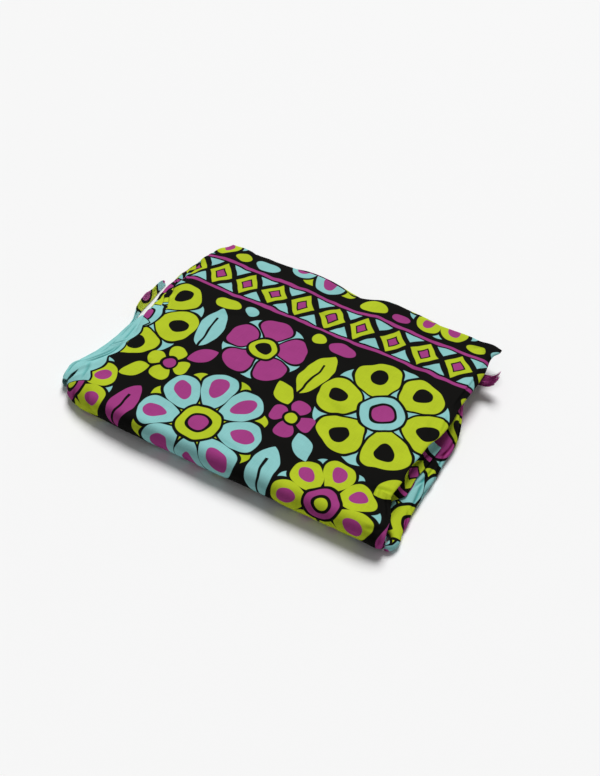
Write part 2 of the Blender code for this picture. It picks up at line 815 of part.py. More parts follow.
def strand_points(row, column):
    """A triangular strand that sweeps back, sags and curls up at its tip."""
    share = column / (TUFT_COLUMNS - 1)
    root_x, root_y, root_z = TUFT_ROOT_CENTRE
    start_x = root_x + TUFT_ROOT_SIZE[0] / 2.0 - STRAND_SUNK
    start_y = root_y + (share - 0.5) * (TUFT_ROOT_SIZE[1] - TUFT_MARGIN)
    start_z = root_z + (row - (TUFT_ROWS - 1) / 2.0) * STRAND_RISE
    length_share = 0.82 + 0.18 * math.sin(2.4 * column + 1.3 * row)
    sweep = TUFT_SIDE_SWEEP * (0.35 + 0.65 * share)
    curl = TUFT_CURL * (0.5 + 0.3 * row)
    points = []
    for step in range(STRAND_STEPS + 1):
        along = step / STRAND_STEPS
        reach = length_share * along
        centre = (start_x + TUFT_LENGTH * (reach - 0.18 * reach ** 3),
                  start_y + sweep * reach ** 2,
                  start_z - TUFT_SAG * math.sin(math.pi * reach) + curl * reach ** 3)
        half = STRAND_HALF_WIDTH * (1.0 - 0.55 * along)
        for side in range(3):
            angle = math.radians(90.0 + 120.0 * side)
            points.append((centre[0], centre[1] + half * math.cos(angle), centre[2] + half * math.sin(angle)))
    return points


def build_fringe_tuft():
    """One tuft of the fringe, its strands fused into a short strip at their roots."""
    points = []
    faces = []
    for number in range(TUFT_ROWS * TUFT_COLUMNS):
        first = len(points)
        points += strand_points(number % TUFT_ROWS, number // TUFT_ROWS)
        faces.append((first + 2, first + 1, first))
        for step in range(STRAND_STEPS):
            for side in range(3):
                low = first + 3 * step + side
                low_next = first + 3 * step + (side + 1) % 3
                faces.append((low, low_next, low_next + 3, low + 3))
        last = first + 3 * STRAND_STEPS
        faces.append((last, last + 1, last + 2))
    strands = new_object("tuft_strands", points, faces, MAGENTA)
    strands.hide_render = True
    strands.display_type = "WIRE"

    half = [size / 2.0 for size in TUFT_ROOT_SIZE]
    corners = [(x, y, z) for z in (-1, 1) for y in (-1, 1) for x in (-1, 1)]
    box = [tuple(centre + side * reach for centre, side, reach in zip(TUFT_ROOT_CENTRE, corner, half))
           for corner in corners]
    box_faces = [(0, 2, 3, 1), (4, 5, 7, 6), (0, 1, 5, 4), (2, 6, 7, 3), (0, 4, 6, 2), (1, 3, 7, 5)]
    root = new_object("fringe_tuft", box, box_faces, MAGENTA)
    union = root.modifiers.new("Roots", "BOOLEAN")
    union.operation = "UNION"
    union.object = strands
    return root


def main():
    clear_scene()
    build_top_stretch()
    build_hidden_layers()
    build_under_stretch()
    build_left_fold()
    build_loose_leaf()
    build_lower_fold()
    build_side_fold()
    build_second_ply()
    build_fringe_tuft()


main()
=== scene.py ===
"""Looks of the folded sarong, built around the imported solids.

Lengths in the tables are in millimetres, and meshes are scaled to metres as they are made.
X runs along the long side of the stack, Y from the rolled front edge to the back, and Z up.
Each surface also carries its place on the flat cloth, which the print, the weave and the creases read.
"""
import math

import bpy
import numpy as np
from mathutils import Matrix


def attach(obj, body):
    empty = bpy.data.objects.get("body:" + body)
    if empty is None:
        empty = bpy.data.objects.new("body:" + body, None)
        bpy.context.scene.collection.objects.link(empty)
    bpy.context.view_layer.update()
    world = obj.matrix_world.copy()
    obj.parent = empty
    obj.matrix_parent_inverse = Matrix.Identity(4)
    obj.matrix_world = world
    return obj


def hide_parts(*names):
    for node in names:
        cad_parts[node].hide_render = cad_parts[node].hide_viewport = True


METRES = 0.001
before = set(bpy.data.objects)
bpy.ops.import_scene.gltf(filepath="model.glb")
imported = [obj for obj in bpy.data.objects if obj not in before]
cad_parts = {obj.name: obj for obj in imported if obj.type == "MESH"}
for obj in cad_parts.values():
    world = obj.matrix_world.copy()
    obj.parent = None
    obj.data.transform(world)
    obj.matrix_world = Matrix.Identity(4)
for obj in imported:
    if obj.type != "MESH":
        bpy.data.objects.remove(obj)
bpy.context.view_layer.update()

# The stack
STACK_HEIGHT = 20.0
WALL = 1.2  # thickness of a solid's wall
CLOTH = 0.45  # thickness of the cloth as drawn
INNER_LEFT = -105.0  # the smooth middle of the top ply starts here
INNER_FRONT = -70.0
BACK_LINE = 104.0
# Shares of the top's width and depth, and the cloth's divisions up to each: finer where it creases
TOP_COLUMN_SHARES = ((0.0, 0), (0.07, 14), (0.89, 112), (1.0, 148))
TOP_ROW_SHARES = ((0.0, 0), (0.1, 20), (1.0, 108))
TOP_COLUMNS = TOP_COLUMN_SHARES[-1][1]
TOP_ROWS = TOP_ROW_SHARES[-1][1]
WELD = 0.002  # points of two patches this near are one point
SMALLEST_FACE = 1e-6  # twice its area
ON_FLOOR = 0.05  # what lies lower than this stays as low

# The front roll
ROLL_HALF_WIDTH = 10.5
ROLL_LEAD = (34.0, 26.0, 18.0)
ROLL_TUCK = (15.0, 19.0)
ROLL_TUCK_AT_END = (12.2, 13.6)
ROLL_STEPS = 8
ROUNDED_PART = 20.0  # the part of a section that is never squeezed
LONGEST_SHARE = 0.88  # of the way in that a section may take
LIFT_PROBE = 0.3

# Right edge of the top ply: y, x, slant share (1 where the edge slopes down as a band)
RIGHT_EDGE = (
    (-104, 124, 0), (-71, 116, 0), (-56, 117, 0), (-41, 116.4, 0), (-30, 118.4, 0), (-18, 119.6, 0),
    (-4, 123.4, 0.05), (16, 125.2, 0.35), (31, 124.4, 0.9), (49, 125.5, 1), (63, 127.1, 1),
    (74, 127.2, 0.9), (82, 126.3, 0.7), (88, 125.6, 0.45), (94, 126.6, 0.15), (98, 129.2, 0),
    (101, 130, 0), (105, 128.6, 0),
)

# Back edge of the top ply: x, y
BACK_EDGE = (
    (-140, 104), (-114, 106.5), (-80, 105), (-50, 105.6), (-20, 104.6), (0, 103.8), (28, 105.8),
    (50, 105.4), (80, 104.4), (110, 104.8), (122, 105), (130, 103),
)

# Soft ridges and troughs of the top: x, y, turn in degrees, half length, half width, height
TOP_WAVES = (
    (-43, 108, 88, 52, 22, 1.6),
    (-4, 108, 94, 46, 17, -3),
    (29, 108, 84, 58, 15, 2.6),
    (84, 106, 100, 40, 22, -0.7),
    (130, 104, 40, 46, 30, -1.3),
    (-112, 100, 60, 30, 16, 1),
    (-70, -20, 15, 60, 34, 0.7),
    (60, -40, -10, 55, 30, 0.6),
    (10, 30, 80, 50, 24, -0.7),
    (110, 106, 94, 20, 5, -0.9),
    (121, 104, 86, 16, 6, 0.7),
)

# The right end of the top bends down to the floor in front
END_FALL = 9.0
END_FALL_START = 106.0
END_FALL_REACH = 19.0
END_FALL_POWER = 1.7
END_FALL_LINE = (-70.0, -78.0)
END_TURN_LINE = (-66.0, -84.0)  # its edge turns under more over this stretch
END_BULGE = 5.0
END_BULGE_LEAD = 8.0
END_BULGE_DEPTH = 13.0
END_FOOT = 3.4
END_FOOT_HEIGHTS = (10.0, 2.0)
BACK_LEFT_RISE = 0.1
BACK_LEFT_RISE_FROM = 60.0
BACK_SHARE = 0.35  # the back edge's reach at its left end
BACK_SHORT = 14.0  # and how far it is short there
BACK_CORNER = (16.0, 5.0)  # before its right end it turns under as the right edge does

# Outermost line of the top ply down its left side: inner y, x, y
TOP_LEFT_LINE = (
    (104, -142.5, 108), (88, -151, 92), (68, -157, 71), (45, -158.8, 47), (26, -157.6, 27),
    (14, -154, 15), (0, -149.4, 0), (-14, -144.6, -16), (-30, -138.6, -36), (-44, -139.2, -56),
    (-56, -147, -73), (-64, -152.6, -87), (-70, -154, -97),
)

# The same along its front: inner x, x, y
TOP_FRONT_LINE = (
    (-105, -154, -97), (-97, -147, -104.2), (-88, -135.6, -108.6), (-76, -119, -110.6),
    (-60, -97, -110.6), (-36, -62, -109.8), (0, -12, -108.4), (40, 35, -106.8), (80, 79, -105.4),
    (116, 124, -103.6),
)

# Over these stretches one section of the border passes into the next
PLEATS_START = (-8.0, 24.0)
CORNER_START = (-61.0, -69.0)
CORNER_END = (-92.0, -60.0)
SHORT_TUCK_START = 90.0

# Noses of the narrow pleats down the left side: inward, height, how far the cloth tucks in under each
PLEAT_NOSES = (
    (14.6, 16.9, 6.5), (9.4, 13.4, 6), (4.6, 10.3, 6), (0, 7.4, 6.5),
)
PLEAT_PLY = 0.75  # half of the room between two plies of a pleat
# Points round a nose: further in, and height in shares of PLEAT_PLY
PLEAT_ROUND = ((3.0, 1.0), (0.8, 0.75), (0.0, 0.0), (0.7, -0.8), (2.8, -1.0))
# Waves along the noses: height, length, share of the phase
PLEAT_WAVER = ((1.0, 7.3, 1.0), (0.6, 3.1, 2.3), (0.3, 1.7, 3.1))
PLEAT_SWAY = ((0.4, 5.2, 2.9), (0.2, 2.3, 1.9))
PLEAT_PHASE = 1.7
PLEAT_DRAW = 0.42  # share by which they draw together at the back
PLEAT_DRAW_LINE = (40.0, 96.0)
PLEAT_LEAD = ((34.0, 20.0), (28.0, 20.0))
PLEAT_SHOULDER = (22.5, 19.7)
PLEAT_SHOULDER_AWAY = 1.5  # further in where they are drawn together
PLEAT_FOOT = 8.0
PLEAT_ABOVE = (0.9, 1.15)  # where a pleat leaves the one above: shares of tuck and PLEAT_PLY
PLEAT_BELOW = 1.1  # how far under it the cloth tucks in, in shares of PLEAT_PLY
PLEAT_TURN = 0.8  # how far past its tuck it turns towards the next
LAST_WAVER = 0.3  # the lowest pleat wavers less, by this share

# Sections over an edge, each row inward from the outermost line and height
LIP_ROWS = (
    (30, 20), (22, 20), (16, 19.8), (11, 19.5), (7.6, 19), (5.2, 18.3), (3.4, 17.5), (2.1, 16.6),
    (1.2, 15.8), (0.6, 15.1), (0.2, 14.4), (0, 13.8), (0.3, 13.1), (1.4, 12.9), (4, 12.9),
)
CORNER_ROWS = (
    (34, 20), (26, 20.4), (19, 20), (13, 18.6), (9, 16.9), (5.5, 14.5), (2.5, 11.8), (0.8, 9), (0, 6.8),
    (0.5, 4.6), (2, 2.6), (4.5, 1), (8, 0), (11, 0),
)
BORDER_POINTS = 60  # control points of each section of the top ply's border

# How the free edges turn under: distance back from the edge and drop
FLAT_TURN = (
    (5, 0), (3.6, 0), (2.4, 0.05), (1.3, 0.2), (0.5, 0.55), (0.05, 1.05), (0.1, 1.5), (0.6, 1.85),
    (1.8, 1.95), (4, 1.95), (6.5, 1.95),
)
BAND_TURN = (
    (5, 0), (4.5, 0.1), (3.7, 0.55), (2.6, 1.2), (1.3, 2), (0.4, 2.8), (0, 3.5), (0.3, 4.2), (1.6, 4.6),
    (4, 4.7), (7, 4.7),
)
BACK_TURN = (
    (3, 0), (2.2, 0), (1.5, 0.05), (0.8, 0.2), (0.25, 0.5), (0, 0.95), (0.1, 1.4), (0.5, 1.75),
    (1.3, 1.9), (3, 1.9), (5, 1.9),
)
END_TURN = (
    (5.6, 0), (4.2, 0.05), (2.9, 0.3), (1.7, 0.9), (0.7, 1.8), (0.1, 2.9), (0, 3.8), (0.5, 4.5),
    (1.8, 4.9), (3.8, 5), (6.2, 5),
)

# Left fold: y, nose x, share sunk, share of width, share of height
LEFT_NOSE = (
    (-95.5, -161, 0, 0.26, 0.8), (-88, -165.2, 0, 0.46, 0.94), (-79, -166.4, 0, 0.64, 1),
    (-66, -163, 0, 0.9, 1), (-52, -159.4, 0, 1, 1), (-35, -157.8, 0, 1, 1), (-14, -157, 0, 1, 1),
    (-4, -155.6, 0.1, 1, 1), (4, -154, 0.6, 1, 1), (12, -152.6, 1, 1, 1), (30, -152, 1, 1, 1),
    (60, -152, 1, 1, 1), (84, -148, 1, 0.9, 1),
)
LEFT_FOLD_HIGH = (
    (22.5, 12.2), (18.5, 12.3), (13.5, 12), (8.5, 10.8), (4, 8.8), (1.1, 6.6), (0, 4.4), (0.7, 2.2),
    (2.8, 0.6), (5.6, 0), (9, 0), (12, 0),
)
LEFT_FOLD_LOW = (
    (15, 5.5), (12.5, 5.6), (10, 5.6), (7, 5.3), (3.8, 4.8), (1.2, 3.8), (0, 2.7), (0.6, 1.3),
    (2.4, 0.3), (4.6, 0), (7, 0), (9, 0),
)

# Loose leaf: foot x, foot y, top x, top y, top z
LOOSE_LEAF = (
    (-157.1, -16.5, -157.1, -16, 5.6), (-158.4, -11, -158.2, -10.4, 6.2), (-160.8, -4, -161.5, -3, 7.4),
    (-162.6, 4, -164.8, 4.8, 8.6), (-163.2, 11, -165.9, 12, 9.7), (-163.7, 18, -166.6, 18.9, 10.3),
    (-164.6, 26, -167, 26.7, 8.4), (-165.8, 34, -168, 34.6, 7.6), (-166.5, 40, -168.5, 40.5, 7.2),
    (-166.8, 46, -168, 46.4, 6.6),
)
LOOSE_LEAF_BOW = 1.2
LOOSE_LEAF_FOOT = 0.75
LOOSE_LEAF_POINTS = 7
LOOSE_LEAF_END = (41.0, 46.6)  # its top comes down in a round corner over this stretch
LOOSE_LEAF_LOW = 0.4  # to this share of its height

# Lower fold on the right side: y, nose x, bulge share, curl share
RIGHT_NOSE = (
    (-99.5, 131, 0, 1), (-95, 132.6, 0, 1), (-90.5, 133.7, 0, 1), (-84, 132.6, 0, 0),
    (-76, 131.8, 0, 0), (-59, 131, 0, 0), (-45, 131.4, 0, 0), (-32, 132.6, 0, 0), (-17, 132, 0, 0),
    (-6, 132.8, 0, 0), (6, 133.2, 0.3, 0), (17, 131.4, 0.9, 0), (30, 127.8, 1, 0), (40, 124.2, 1, 0),
    (49, 121.6, 1, 0),
)
LEDGE_ROWS = (
    (20, 0), (14, 0), (8, 0), (3.8, 0.3), (1.2, 1.3), (0, 3.1), (0.7, 4.9), (2.6, 6.1), (5.4, 6.8),
    (8.6, 7.1), (11.4, 7.2), (13.6, 7.2), (15.4, 7.1),
)
BULGE_ROWS = (
    (9.6, 0), (7.6, 0), (5.2, 0), (2.8, 0.6), (0.9, 2.4), (0, 5.2), (0.2, 8.2), (1.1, 10.9), (2.5, 13),
    (4.2, 14.5), (6, 15.5), (7.6, 15.9), (9, 16),
)
CURL_ROWS = (
    (6.2, 0.3), (5.2, 0), (3.9, 0), (2.3, 0.4), (0.8, 1.4), (0, 3.1), (0.5, 4.9), (1.8, 6.1),
    (3.3, 6.5), (4.8, 6.3), (5.9, 5.6), (6.5, 4.8), (6.6, 4),
)
CURL_ROUNDING = 5.0  # the curl closes over this length at its front end
CURL_HOLE = 0.16  # to this share of its size
CURL_MIDDLE = (3.4, 2.6)  # around this point: inward, height

# Inner fold in the shade of the top ply on the right side: y, x
SIDE_FOLD_LINE = (
    (-69, 116.8), (-56, 117.6), (-41, 117.2), (-30, 118.8), (-18, 120), (-6, 121.4),
)
SIDE_FOLD_ROWS = (
    (9.5, 16.9), (6.2, 16.9), (4.2, 16.4), (3.1, 15.3), (2.5, 13.9), (1.7, 12.5), (0.4, 11.2),
    (-1.4, 10.1), (-3.2, 9.3), (-4.6, 8.8),
)
SIDE_FOLD_TUCK = 7.0  # its front end goes this far back into the stack
SIDE_FOLD_TUCK_FROM = -56.0

# Second ply, seen behind the back edge of the top ply: x, how far it peeks
SECOND_PLY_PEEK = (
    (-98, -2.6), (-86, -0.6), (-70, 0.6), (-52, 3), (-30, 3.2), (-8, 2.4), (12, -0.8), (34, 2),
    (56, 2.6), (80, 0.4), (106, -2.4),
)
SECOND_PLY_FRONT = 84.0
SECOND_PLY_DEPTH = 2.3  # below the top's outer face
SECOND_PLY_ROWS = 14
SECOND_PLY_LINES = 136
# How its back edge turns under: outward, height
SECOND_PLY_TURN = ((0.5, -0.2), (0.7, -0.6), (0.5, -1.0), (-0.6, -1.25), (-4.0, -1.3))

# Ply that lies on the floor, and its rings: share of its size, height
UNDER_LEFT = -133.0
UNDER_RIGHT = 110.0
UNDER_FRONT = -81.0
UNDER_BACK = 99.0
UNDER_POINTS = 241
UNDER_SQUARENESS = 0.16  # an oval at 1, and a rectangle at 0
UNDER_RINGS = (
    (0.02, 0), (0.35, 0), (0.7, 0), (0.9, 0), (0.97, 0), (0.985, 0.05), (0.996, 0.3), (1, 0.7),
    (0.996, 1),
)

# Outline of the plies inside the stack: x, y, and how far it draws in from the top ply to the floor
PLY_OUTLINE = (
    (-118, 94, 0), (-128, 86, 0), (-129.5, 60, 0), (-129, 20, 0), (-129.5, -30, 0), (-131, -70, 0),
    (-133, -92, 2), (-116, -98, 3), (-60, -99, 3), (20, -97, 3), (90, -94, 3), (106, -92, 3),
    (108.5, -70, 2), (110, -30, 2), (109, 10, 1), (109, 40, 1), (117.5, 60, 6), (118.6, 84, 7),
    (117, 96, 6.5), (106, 100.4, 2), (72, 101.4, 0), (24, 102, 0), (-12, 101.2, 0), (-60, 102, 0),
    (-106, 101.6, 0),
)
PLIES = 12
PLY_POINTS = 260
PLY_LEAD = 12.0
PLY_GAP = 0.4  # above the ply on the floor
PLY_COVER = 4.0  # below the top's outer face
PLY_FULLNESS = 0.86
PLY_INSET = 1.0
PLY_WAVES = ((0.8, 31.0, 2.1), (0.5, 13.7, 1.3))  # of its edge: height, length, phase
PLY_STAGGER = 0.6  # from one ply to the next
PLY_STAGGER_PHASE = 5.3
PLY_CLOSING = 3.4  # from the last point round the stack to the first
# Section of a folded edge: inward, height in shares of half its thickness
PLY_EDGE = ((PLY_LEAD, 1.0), (2.0, 1.0), (0.8, 0.9), (0.15, 0.5), (0.0, 0.0),
            (0.15, -0.5), (0.8, -0.9), (2.0, -1.0), (PLY_LEAD, -1.0))
PLY_SHIFT = (37.0, 61.0)  # from one ply's place on the flat cloth to the next

# Creases: start u, v, end u, v on the flat cloth, bow, half width, depth (a ridge where it is negative).
# A trough's depth also sets the painted shade in it
TOP_CREASES = (
    # the pinched front left corner
    (-147, -74, -138, -95, 1, 1.5, 0.8),
    (-138, -102, -139.5, -121, -0.8, 1.6, 0.75),
    (-149, -106, -166, -101, 0.7, 1.2, 0.85),
    (-147, -106, -143, -126, 0.6, 1.1, 0.7),
    (-154, -92, -159, -74, -0.6, 1.2, 0.9),
    (-128, -98, -118, -118, 1.2, 2.2, 0.4),
    # small wrinkles where the top bends down at its right end
    (103.5, -69, 106.5, -79, 0.4, 0.8, 0.42),
    (107.4, -68, 109, -79.5, -0.4, 0.8, 0.46),
    (111, -70, 117.5, -89, 0.9, 1, 0.62),
    (115, -73, 121, -91, 0.8, 1, 0.6),
    (99, -71.5, 118, -66, 0.8, 1.3, 0.45),
    (119, -98, 122.5, -112, 0.6, 1, 0.45),
    (108, -101, 121, -94, -0.9, 1.4, 0.5),
    # the right edge
    (119.8, 22, 123.4, 84, -0.7, 0.85, 0.46),
    (122.4, -4, 119, 17, -0.6, 0.9, 0.5),
    (118, -12, 110, 6, 0.8, 1.6, 0.22),
    (113, 99, 124, 86, 0.9, 1.5, 0.5),
    (121, 103, 108, 92, -0.7, 1.8, 0.36),
    # faint folds left from an earlier folding
    (-62, -28, -8, -44, 2, 2.6, 0.22),
    (-96, 22, -52, 41, -2.2, 2.8, 0.24),
    (22, -12, 66, -30, 2.6, 3, 0.2),
    (-30, 70, 24, 52, 1.8, 2.4, 0.2),
    (58, 34, 96, 60, -1.6, 2.4, 0.22),
    (-118, -44, -92, -66, 1.4, 2.2, 0.28),
    (70, 88, 92, 72, 1, 2, 0.22),
    (-22, -86, 30, -94, -1.2, 2.6, 0.22),
    # the front roll
    (-92, -108, -74, -128, 1.2, 2.4, 0.34),
    (-36, -112, -16, -131, 1, 2.2, 0.28),
    (34, -106, 58, -127, -1.2, 2.4, 0.3),
    (84, -104, 96, -124, 0.8, 2, 0.34),
    # across the narrow pleats
    (-150, 18, -162, 26, 0.7, 1, 0.5),
    (-140, 5, -152, 14, 0.8, 1, 0.55),
    (-146, 33, -166, 42, -0.8, 1.1, 0.5),
    (-140, 52, -160, 57, 0.6, 1, 0.42),
    (-141, 68, -158, 78, -0.6, 1, 0.42),
    (-133, 84, -150, 92, 0.6, 1.1, 0.4),
)
# The same on the folds, by distance over the fold and by y
LEFT_CREASES = (
    (5.2, -74, 6.4, -40, 0.5, 1, 1.3),
    (11.5, -87, 18, -70, 0.6, 0.9, 1.3),
    (24.5, -72, 25.5, -44, -0.5, 0.9, 1.2),
    (23.5, -34, 25.5, -12, 0.5, 0.8, 1.1),
    (19, -84, 23, -52, 0.8, 0.9, 1.5),
    (17, -67, 19.5, -34, -0.7, 0.8, 1.5),
    (22.5, -50, 20, -10, 0.8, 0.8, 1.3),
    (15.5, -37, 20.5, -4, 0.6, 0.8, 1.4),
    (15.5, -49.5, 6, -36.5, 0.5, 0.7, 1.3),
    (10.5, -76, 8, -45, 0.9, 1, 1.05),
    (8.5, -40, 13.5, -16, 0.6, 0.9, 0.9),
    (13, -72, 3.5, -91, 0.5, 0.9, 1.4),
    (17, -79, 9, -94, -0.5, 1, 1.2),
    (21, -91, 23.5, -74, 0.4, 1, 1.05),
    (12.5, -60, 15.5, -38, 0.5, 0.7, 0.95),
    (19, -28, 24, 6, -0.6, 0.9, 0.95),
)
LEAF_CREASES = (
    (2, -10, 8, 12, 0.5, 1, 0.35),
    (8.5, 14, 4, 38, 0.6, 1.1, 0.35),
)
LOWER_CREASES = (
    (24, -66, 30, -30, 0.7, 1.1, 1),
    (21, -34, 26, -2, -0.6, 1, 0.95),
    (28, -14, 22, 10, 0.6, 1, 0.9),
    (18, 8, 22, 40, 0.8, 1.2, 0.9),
    (14, 20, 16, 46, -0.5, 1.1, 0.7),
    (20, -86, 27, -64, 0.5, 1, 0.8),
    (31, -48, 27, -20, 0.5, 0.9, 0.85),
    (23, -52, 20.5, -30, 0.4, 0.9, 0.8),
)
SIDE_CREASES = (
    (4, -60, 10, -36, 0.4, 0.9, 0.7),
    (8, -40, 14, -14, -0.4, 0.9, 0.75),
    (13.5, -52, 10.5, -28, 0.4, 0.8, 0.6),
)
CREASE_START = (-0.05, 0.3)  # shares of a crease's length over which it deepens
CREASE_END = (1.05, 0.65)  # and over which it runs out
SHOULDER_AWAY = 1.8  # the cloth beside a crease rises, in shares of the crease
SHOULDER_WIDTH = 1.3
SHOULDER_HEIGHT = 0.45

# Soft unevenness all over: wave length, direction in degrees, start, height
RIPPLES = (
    (61, 18, 0.4, 0.16), (43, 71, 1.9, 0.13), (34, 128, 3.3, 0.1), (23, 47, 0.9, 0.07),
    (17, 101, 5.1, 0.05), (12.5, 8, 2.2, 0.03),
)
RIPPLE_SWAY = 0.9

# Where each fold lies on the flat cloth, so that the print on it comes from another stretch
LEFT_PLACE = (1600.0, 0.0)
LEAF_PLACE = (180.0, 121.0)
LOWER_PLACE = (172.0, 213.5)
SIDE_PLACE = (120.0, 328.0)
SECOND_PLACE = (70.0, 147.0)
UNDER_PLACE = (30.0, 700.0)
PLIES_PLACE = (0.0, 800.0)


def smoothstep(low, high, value):
    share = np.clip((np.asarray(value, float) - low) / (high - low), 0.0, 1.0)
    return share * share * (3.0 - 2.0 * share)


def ease(low, high, value):
    """smoothstep of one number."""
    return float(smoothstep(low, high, value))


def read_row(rows, at):
    """Read the columns after the first at many keys, along smooth curves that never overshoot."""
    table = np.array(rows, float)
    if table[0, 0] > table[-1, 0]:
        table = table[::-1]
    keys = table[:, 0]
    values = table[:, 1:]
    at = np.clip(np.atleast_1d(np.asarray(at, float)), keys[0], keys[-1])
    index = np.clip(np.searchsorted(keys, at) - 1, 0, len(keys) - 2)
    steps = (values[1:] - values[:-1]) / (keys[1:] - keys[:-1])[:, None]
    before = np.vstack([steps[:1], steps])
    after = np.vstack([steps, steps[-1:]])
    same_way = before * after > 0.0
    total = np.where(same_way, before + after, 1.0)
    slopes = np.where(same_way, 2.0 * before * after / total, 0.0)
    span = (keys[index + 1] - keys[index])[:, None]
    share = (at - keys[index])[:, None] / span
    start_weight = 2.0 * share ** 3 - 3.0 * share ** 2 + 1.0
    start_slope = share ** 3 - 2.0 * share ** 2 + share
    end_slope = share ** 3 - share ** 2
    return (start_weight * values[index] + (1.0 - start_weight) * values[index + 1]
            + span * (start_slope * slopes[index] + end_slope * slopes[index + 1]))


def turned(x, y, degrees):
    """Distances measured along and across a direction."""
    cosine = math.cos(math.radians(degrees))
    sine = math.sin(math.radians(degrees))
    return x * cosine + y * sine, y * cosine - x * sine


def top_height(x, y):
    """Height of the top ply's outer face, with its soft waves."""
    x = np.asarray(x, float)
    y = np.asarray(y, float)
    height = np.full(np.broadcast(x, y).shape, STACK_HEIGHT)
    for wave_x, wave_y, turn, half_length, half_width, rise in TOP_WAVES:
        along, across = turned(x - wave_x, y - wave_y, turn)
        height = height + rise * np.exp(-(along / half_length) ** 2 - (across / half_width) ** 2)
    fall = np.maximum(x - END_FALL_START, 0.0) / END_FALL_REACH
    return height - END_FALL * smoothstep(*END_FALL_LINE, y) * fall ** END_FALL_POWER


def back_edge(x):
    return read_row(BACK_EDGE, x)[:, 0]


def spline(points, steps):
    """A smooth curve through points, with this many steps between each two."""
    points = np.asarray(points, float)
    padded = np.vstack([2.0 * points[0] - points[1], points, 2.0 * points[-1] - points[-2]])
    out = []
    for place in range(len(points) - 1):
        p0, p1, p2, p3 = padded[place:place + 4]
        for step in range(steps):
            t = step / steps
            out.append(0.5 * (2.0 * p1 + (p2 - p0) * t + (2.0 * p0 - 5.0 * p1 + 4.0 * p2 - p3) * t ** 2
                              + (3.0 * p1 - p0 - 3.0 * p2 + p3) * t ** 3))
    out.append(points[-1])
    return np.array(out)


def arc_lengths(points):
    steps = np.linalg.norm(np.diff(points, axis=0), axis=1)
    return np.concatenate([[0.0], np.cumsum(steps)])


def read_curve(points, arc, at):
    """Points of a curve at these lengths along it."""
    return np.column_stack([np.interp(at, arc, points[:, column]) for column in range(points.shape[1])])


def border_rows(rows):
    """A section of the border as evenly spaced points."""
    fine = spline(rows, steps=6)
    arc = arc_lengths(fine)
    return read_curve(fine, arc, np.linspace(0.0, arc[-1], BORDER_POINTS))


def mix_rows(first, second, share):
    return np.asarray(first) * (1.0 - share) + np.asarray(second) * share


def over_edge(inner, outer, rows, lift=1.0):
    """Points of a section, each an inward distance from the outer point towards the inner one."""
    inner = np.asarray(inner[:2], float)
    outer = np.asarray(outer[:2], float)
    distance, height = np.array(rows, float).T
    reach = np.linalg.norm(inner - outer)
    inward = (inner - outer) / reach
    longest = distance.max()
    squeeze = 1.0
    if longest > LONGEST_SHARE * reach:
        squeeze = (LONGEST_SHARE * reach - ROUNDED_PART) / (longest - ROUNDED_PART)
    distance = np.where(distance > ROUNDED_PART,
                        ROUNDED_PART + (distance - ROUNDED_PART) * squeeze, distance)
    return np.column_stack([outer + inward * distance[:, None], height * lift])


def crease_height(cloth, creases):
    """How far the cloth sinks or rises at its flat places, from the listed creases."""
    u, v = cloth.T
    height = np.zeros(len(u))
    for start_u, start_v, end_u, end_v, bow, width, depth in creases:
        du = end_u - start_u
        dv = end_v - start_v
        length = math.hypot(du, dv)
        along = ((u - start_u) * du + (v - start_v) * dv) / length ** 2
        across = ((v - start_v) * du - (u - start_u) * dv) / length - 4.0 * bow * along * (1.0 - along)
        fade = smoothstep(*CREASE_START, along) * smoothstep(*CREASE_END, along)
        trough = np.exp(-(across / width) ** 2)
        shoulder = np.exp(-((across - SHOULDER_AWAY * width) / (SHOULDER_WIDTH * width)) ** 2)
        height -= depth * fade * (trough - SHOULDER_HEIGHT * shoulder)
    return height


def ripple_height(cloth):
    height = np.zeros(len(cloth))
    for wave, turn, start, rise in RIPPLES:
        along, across = turned(*cloth.T, turn)
        sway = RIPPLE_SWAY * np.sin(across / wave)
        height += rise * np.sin(2.0 * math.pi * along / wave + start + sway)
    return height


def crossed(points, quads):
    """Product of each face's two diagonals: along its normal, and as long as twice its area."""
    return np.cross(points[quads[:, 2]] - points[quads[:, 0]], points[quads[:, 3]] - points[quads[:, 1]])


def vertex_normals(points, quads):
    face_normals = crossed(points, quads)
    normals = np.zeros_like(points)
    for corner in range(4):
        np.add.at(normals, quads[:, corner], face_normals)
    lengths = np.linalg.norm(normals, axis=1)
    return normals / np.where(lengths > 1e-12, lengths, 1.0)[:, None]


def add_item(name, data):
    item = bpy.data.objects.new(name, data)
    bpy.context.scene.collection.objects.link(item)
    return item


def add_piece(name, mesh, node):
    """A piece that takes the place of a solid of the frame."""
    mesh.shade_smooth()
    item = add_item(name, mesh)
    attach(item, "root")
    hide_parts(node)
    return item


